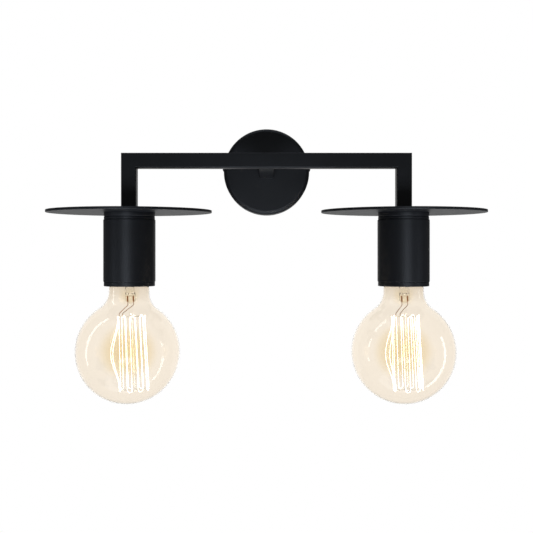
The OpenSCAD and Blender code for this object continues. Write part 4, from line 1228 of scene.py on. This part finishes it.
def filament_route():
    """The filament's way up and down the cage: round turns at the hooks, and two slack strands."""
    turn_steps, strand_steps = 6, 20
    bows = {STRANDS - 1: 0.85 * SLACK_BOW, STRANDS - 2: SLACK_BOW}
    points = []
    for k in range(STRANDS + 1):
        first, last = (0 if k == 0 else -turn_steps), (0 if k == STRANDS else turn_steps)
        points += [turn_point(k, i / turn_steps) for i in range(first, last + 1)]
        if k == STRANDS:
            break
        leaving, reaching = turn_point(k, 1), turn_point(k + 1, -1)
        for i in range(1, strand_steps):
            t = i / strand_steps
            radius, angle, height = (a + (b - a) * t for a, b in zip(leaving, reaching))
            points.append((radius + bows.get(k, 0) * math.sin(math.pi * t) ** 2, angle, height))
    return [on_cage(*p) for p in points]


def spoke_z(k):
    """Height of the spoke that holds a turn of the filament: inside the turn."""
    return hook_z(k) + (-1 if k % 2 == 0 else 1) * SPOKE_INSET


def spoke_route(k):
    """A spoke out of its button, under the filament's turn, with its end bent up to keep the turn."""
    out = 1 if k % 2 == 0 else -1
    reach = hook_r(k) + 0.25
    points = [(BUTTON_R - 0.6, 0), (hook_r(k) - 2, 0), (reach, 0)]
    points += [(reach + r, z) for r, z in arc(0, SPOKE_BEND_R, SPOKE_BEND_R, -75, 0, 5)]
    points += [(reach + SPOKE_BEND_R, 0.95)]
    return [on_cage(r, hook_turn(k), spoke_z(k) + out * z) for r, z in points]


def lead_route(k):
    """A lead from the press to an end of the filament."""
    x = LEAD_X if k == 0 else -LEAD_X
    end = on_cage(hook_r(k), hook_turn(k), hook_z(k) + 0.45)
    corners = [(x, 0, PRESS_Z + 3), (x, 0, PRESS_Z - 1.2), (x, -0.5, PRESS_Z - 2.8),
               (end.x, end.y, end.z + 2.5), (end.x, end.y, end.z - 0.2)]
    return rounded_route(corners, 1.5, BEND_STEPS)


def mount_outline():
    """Outline of the glass mount: flare, hollow tube, press, rod and its two buttons."""
    top = NECK_END_Z + FLARE_GAP + 1
    rod_end = CAGE_END_Z - 1.0
    flare_r = CAP_R - 1.1
    outline = [(TUBE_IN_R, top), (flare_r - 0.3, top), (flare_r, top - 0.3), (flare_r, top - 0.7),
               (flare_r - 0.3, top - 1)]
    outline += [(TUBE_R + 4 * (1 - t) ** 1.6, top - 1.2 - (9.6 + FLARE_GAP) * t)
                for t in (i / 10 for i in range(11))]
    outline += [(TUBE_R, PRESS_Z + z) for z in (9, 8, 7, 6, 5, 4, 2.4)]
    outline += [(TUBE_R - 0.4, PRESS_Z + 1.2), (TUBE_R - 1.3, PRESS_Z + 0.4), (ROD_R + 1, PRESS_Z),
                (ROD_R + 0.3, PRESS_Z - 0.4), (ROD_R, PRESS_Z - 1.2)]
    for k in (0, 1):
        button_z = spoke_z(k)
        outline += [(ROD_R, button_z + 1.3)]
        outline += [(ROD_R + (BUTTON_R - ROD_R) * r, button_z + z) for r, z in arc(0, 0, 1, 80, -80, 8)]
        if k == 0:
            outline += [(ROD_R, button_z - 1.3)]
    outline += [(ROD_R - 0.5, rod_end - 0.2), (0, rod_end - 0.3)]
    outline += [(0, PRESS_Z + 7.2), (TUBE_IN_R * 0.7, PRESS_Z + 7.6), (TUBE_IN_R, PRESS_Z + 9)]
    return outline


def pinched(radius, height, angle):
    """The hot tube is pinched flat at the press, and only there."""
    share = min(1, max(0, (PRESS_Z + 9 - height) / 4)) if height > PRESS_Z - 0.2 else 0
    if share == 0 or radius < ROD_R + 0.5:
        return radius, height
    wide, thin = radius * 1.06, radius * 0.37
    flat = 1 / math.hypot(math.cos(angle) / wide, math.sin(angle) / thin)
    return radius + (flat - radius) * share, height


def cap_thread(radius, height, angle):
    """Rolled screw thread of the cap: it fades out at the rim, and runs into its root at the shoulder."""
    if height > EYELET_Z - 6.99:
        return radius, height
    # It fades over 1.5 mm at both ends
    below = min(1, max(0, (height - CAP_END_Z - 2.2) / 1.5))
    above = min(1, max(0, (EYELET_Z - 6.8 - height) / 1.5))
    wave = (math.cos(2 * math.pi * height / THREAD_PITCH - angle) - 1) * above - 2 * (1 - above)
    return radius + THREAD_DEPTH * below * wave, height


def cap_outline():
    """Outline of the bulb's brass cap: rim, threaded wall and the fold that grips the insulator."""
    wall = 0.3
    low, high = CAP_END_Z, EYELET_Z
    fold_r = CAP_R - 1.6
    steps = 64
    heights = [low + 1.2 + (CAP_LEN - 8.2) * i / steps for i in range(steps + 1)]
    outline = [(CAP_R - wall, low), (CAP_R + 0.2, low), (CAP_R + 0.2, low + 0.6)]
    outline += [(CAP_R, z) for z in heights]
    outline += [(CAP_R - 0.9, high - 6.5), (CAP_R - 1.15, high - 5.9), (fold_r, high - 5.4)]
    outline += [(fold_r - wall, high - 5.4), (fold_r - wall, high - 5.8), (fold_r - wall + 0.5, high - 6.4)]
    outline += [(CAP_R - wall, z) for z in reversed(heights)]
    return outline


def insulator_outline():
    """Outline of the black glass that holds the eyelet in the cap."""
    top = EYELET_Z
    return [(1.5, top - 5.4), (CAP_R - 1.9, top - 5.4), (CAP_R - 1.6, top - 5.1), (CAP_R - 1.7, top - 4.7),
            (CAP_R - 3.2, top - 3.9), (CAP_R - 5.6, top - 2.7), (6.4, top - 1.9), (5.3, top - 1.62),
            (1.5, top - 1.6)]


def eyelet_outline():
    """Outline of the eyelet: a thin brim, and the drop of solder on it."""
    top = EYELET_Z
    return [(0, top - 1.55), (4.6, top - 1.55), (4.8, top - 1.4), (4.6, top - 1.1), (3.6, top - 0.8),
            (2.9, top - 0.55), (2.5, top - 0.2), (1.9, top - 0.04), (1.0, top), (0, top - 0.02)]


class WALLLAMP_OT_bulbs(bpy.types.Operator):
    """Bulbs: caps, blown globes, glass mounts, leads, hooks and coiled filaments"""

    bl_idname = "wall_lamp.bulbs"
    bl_label = "Bulbs"

    def execute(self, context):
        settings = context.scene.wall_lamp_bulb
        # Rolled brass with a pickled skin: bright yellow
        brass = bare_metal("Rolled cap brass", "#C9A45C", "#B78F4A", 0.24)
        # Poured black glass: a deep wet gloss
        black_glass = moulded("Black cap glass", "#131214", "#1B191C", 0.12, ior=1.52)
        # A set drop of solder: grey and a little dull
        solder = bare_metal("Tin solder", "#B9BABC", "#9C9EA1", 0.32)
        # Stained thin glass. The IOR is low, so that its wall bends the view as little as in the photo
        # Towards its outline the globe takes a paler colour, a painted reflection at the rim
        amber = blown_glass("Amber blown glass", settings.glass_middle, settings.glass_edge, 1.12,
                            # The neck colour is painted shade: the dark lampholder's reflection in the neck
                            linear("#EEE6DA"))
        # Drawn lead glass: clear with a trace of warmth
        clear = blown_glass("Clear lead glass", (0.99, 0.985, 0.97), (0.98, 0.975, 0.96), 1.2)
        # Drawn nickel: a pale warm grey
        nickel_wire = bare_metal("Nickel support wire", "#DAD6CE", "#C8C4BC", 0.45)
        # Copper-clad wires have a borate glaze, so they show as a copper enamel and not as bare metal.
        # Inside their seals the glass makes them look darker and thicker
        seal_wire = moulded("Copper-sheathed seal wire", "#C98038", "#B56A28", 0.30)
        lead_wire = moulded("Copper-clad lead wire", "#E8AE7C", "#D9935C", 0.30)
        glow = glowing_wire(settings.glow)
        wires = wire_tree()
        coils = coil_tree()
        for word, side in SIDES:
            body = "bulb_" + word

            lathed("Bulb_Cap_" + word, cap_outline(), 128, at_lamp(side), body, brass,
                   "bulb_cap_" + word, cap_thread, sharp=50)
            lathed("Cap_Insulator_" + word, insulator_outline(), 96, at_lamp(side), body,
                   black_glass, "cap_insulator_" + word)
            lathed("Eyelet_" + word, eyelet_outline(), 48, at_lamp(side), body + "_base", solder,
                   "eyelet_" + word)

            skewed = (at_lamp(side, CAP_END_Z) @ Matrix.Rotation(math.radians(GLASS_SKEW[word]), 4, "Y")
                      @ Matrix.Translation((0, 0, GLOBE_Z - CAP_END_Z)))
            wall = glass_side(0) + glass_side(GLASS_T)[::-1]
            globe = lathed("Bulb_Glass_" + word, wall, 192, skewed, body, amber,
                           "bulb_glass_" + word)
            bpy.data.collections["Globes"].objects.link(globe)
            mount = lathed("Glass_Mount_" + word, mount_outline(), 64, leaning(side), body,
                           clear, "glass_mount_" + word, pinched)
            # The filament's light passes the glass to the shade and the cup
            globe.visible_shadow = False
            mount.visible_shadow = False

            inside = leaning(side)
            hooks = [[inside @ p for p in spoke_route(k)] for k in range(1, STRANDS)]
            drawn("Support_Wires_" + word, wires, hooks, SPOKE_R, 8, nickel_wire, body,
                  ["support_wires_" + word])
            leads = [[inside @ p for p in lead_route(k)] for k in (0, STRANDS)]
            drawn("Lead_Wires_" + word, wires, leads, LEAD_R, 12, lead_wire, body,
                  ["lead_wires_" + word])
            seals = [[inside @ Vector((x, 0, PRESS_Z + z)) for z in (6.0, 5.6, 1.0, 0.6)]
                     for x in (-LEAD_X, LEAD_X)]
            drawn("Lead_Seals_" + word, wires, seals, SEAL_R, 16, seal_wire, body)

            route = [inside @ p for p in filament_route()]
            mesh = grown("Coil", route_mesh("Coil", route), coils, {
                "Coil Radius": settings.coil_radius, "Wire Radius": settings.coil_wire,
                "Coil Pitch": settings.coil_pitch, "Points per Turn": settings.coil_points,
                "Material": glow})
            finished("Filament_" + word, mesh, body, None, ["filament_" + word],
                     sharp=180)
        return {"FINISHED"}


# Panel in the sidebar

class WALLLAMP_PT_pieces(bpy.types.Panel):
    """Lists the lamp's sizes and the pieces that can be built"""

    bl_idname = "WALLLAMP_PT_pieces"
    bl_label = "Wall Lamp"
    bl_space_type = "VIEW_3D"
    bl_region_type = "UI"
    bl_category = "Wall Lamp"

    def draw(self, context):
        scene = context.scene
        for settings in (scene.wall_lamp_stage, scene.wall_lamp_metal, scene.wall_lamp_bulb):
            box = self.layout.box()
            for name in settings.__annotations__:
                box.prop(settings, name)
        for kind in OPERATORS:
            self.layout.operator(kind.bl_idname)


OPERATORS = (
    WALLLAMP_OT_stage, WALLLAMP_OT_metalwork, WALLLAMP_OT_fixings, WALLLAMP_OT_lampholders,
    WALLLAMP_OT_wiring, WALLLAMP_OT_bulbs,
)
CLASSES = (StageSettings, MetalSettings, BulbSettings, *OPERATORS, WALLLAMP_PT_pieces)


def register():
    """Registers the classes and hangs the settings on the scene."""
    for kind in CLASSES:
        bpy.utils.register_class(kind)
    bpy.types.Scene.wall_lamp_stage = PointerProperty(type=StageSettings)
    bpy.types.Scene.wall_lamp_metal = PointerProperty(type=MetalSettings)
    bpy.types.Scene.wall_lamp_bulb = PointerProperty(type=BulbSettings)


def unregister():
    """Takes back what register did."""
    del bpy.types.Scene.wall_lamp_stage
    del bpy.types.Scene.wall_lamp_metal
    del bpy.types.Scene.wall_lamp_bulb
    for kind in reversed(CLASSES):
        bpy.utils.unregister_class(kind)


def main():
    """Makes every piece in order."""
    register()
    bpy.ops.wall_lamp.stage()
    bpy.ops.wall_lamp.metalwork()
    bpy.ops.wall_lamp.fixings()
    bpy.ops.wall_lamp.lampholders()
    bpy.ops.wall_lamp.wiring()
    bpy.ops.wall_lamp.bulbs()


if __name__ == "__main__":
    main()
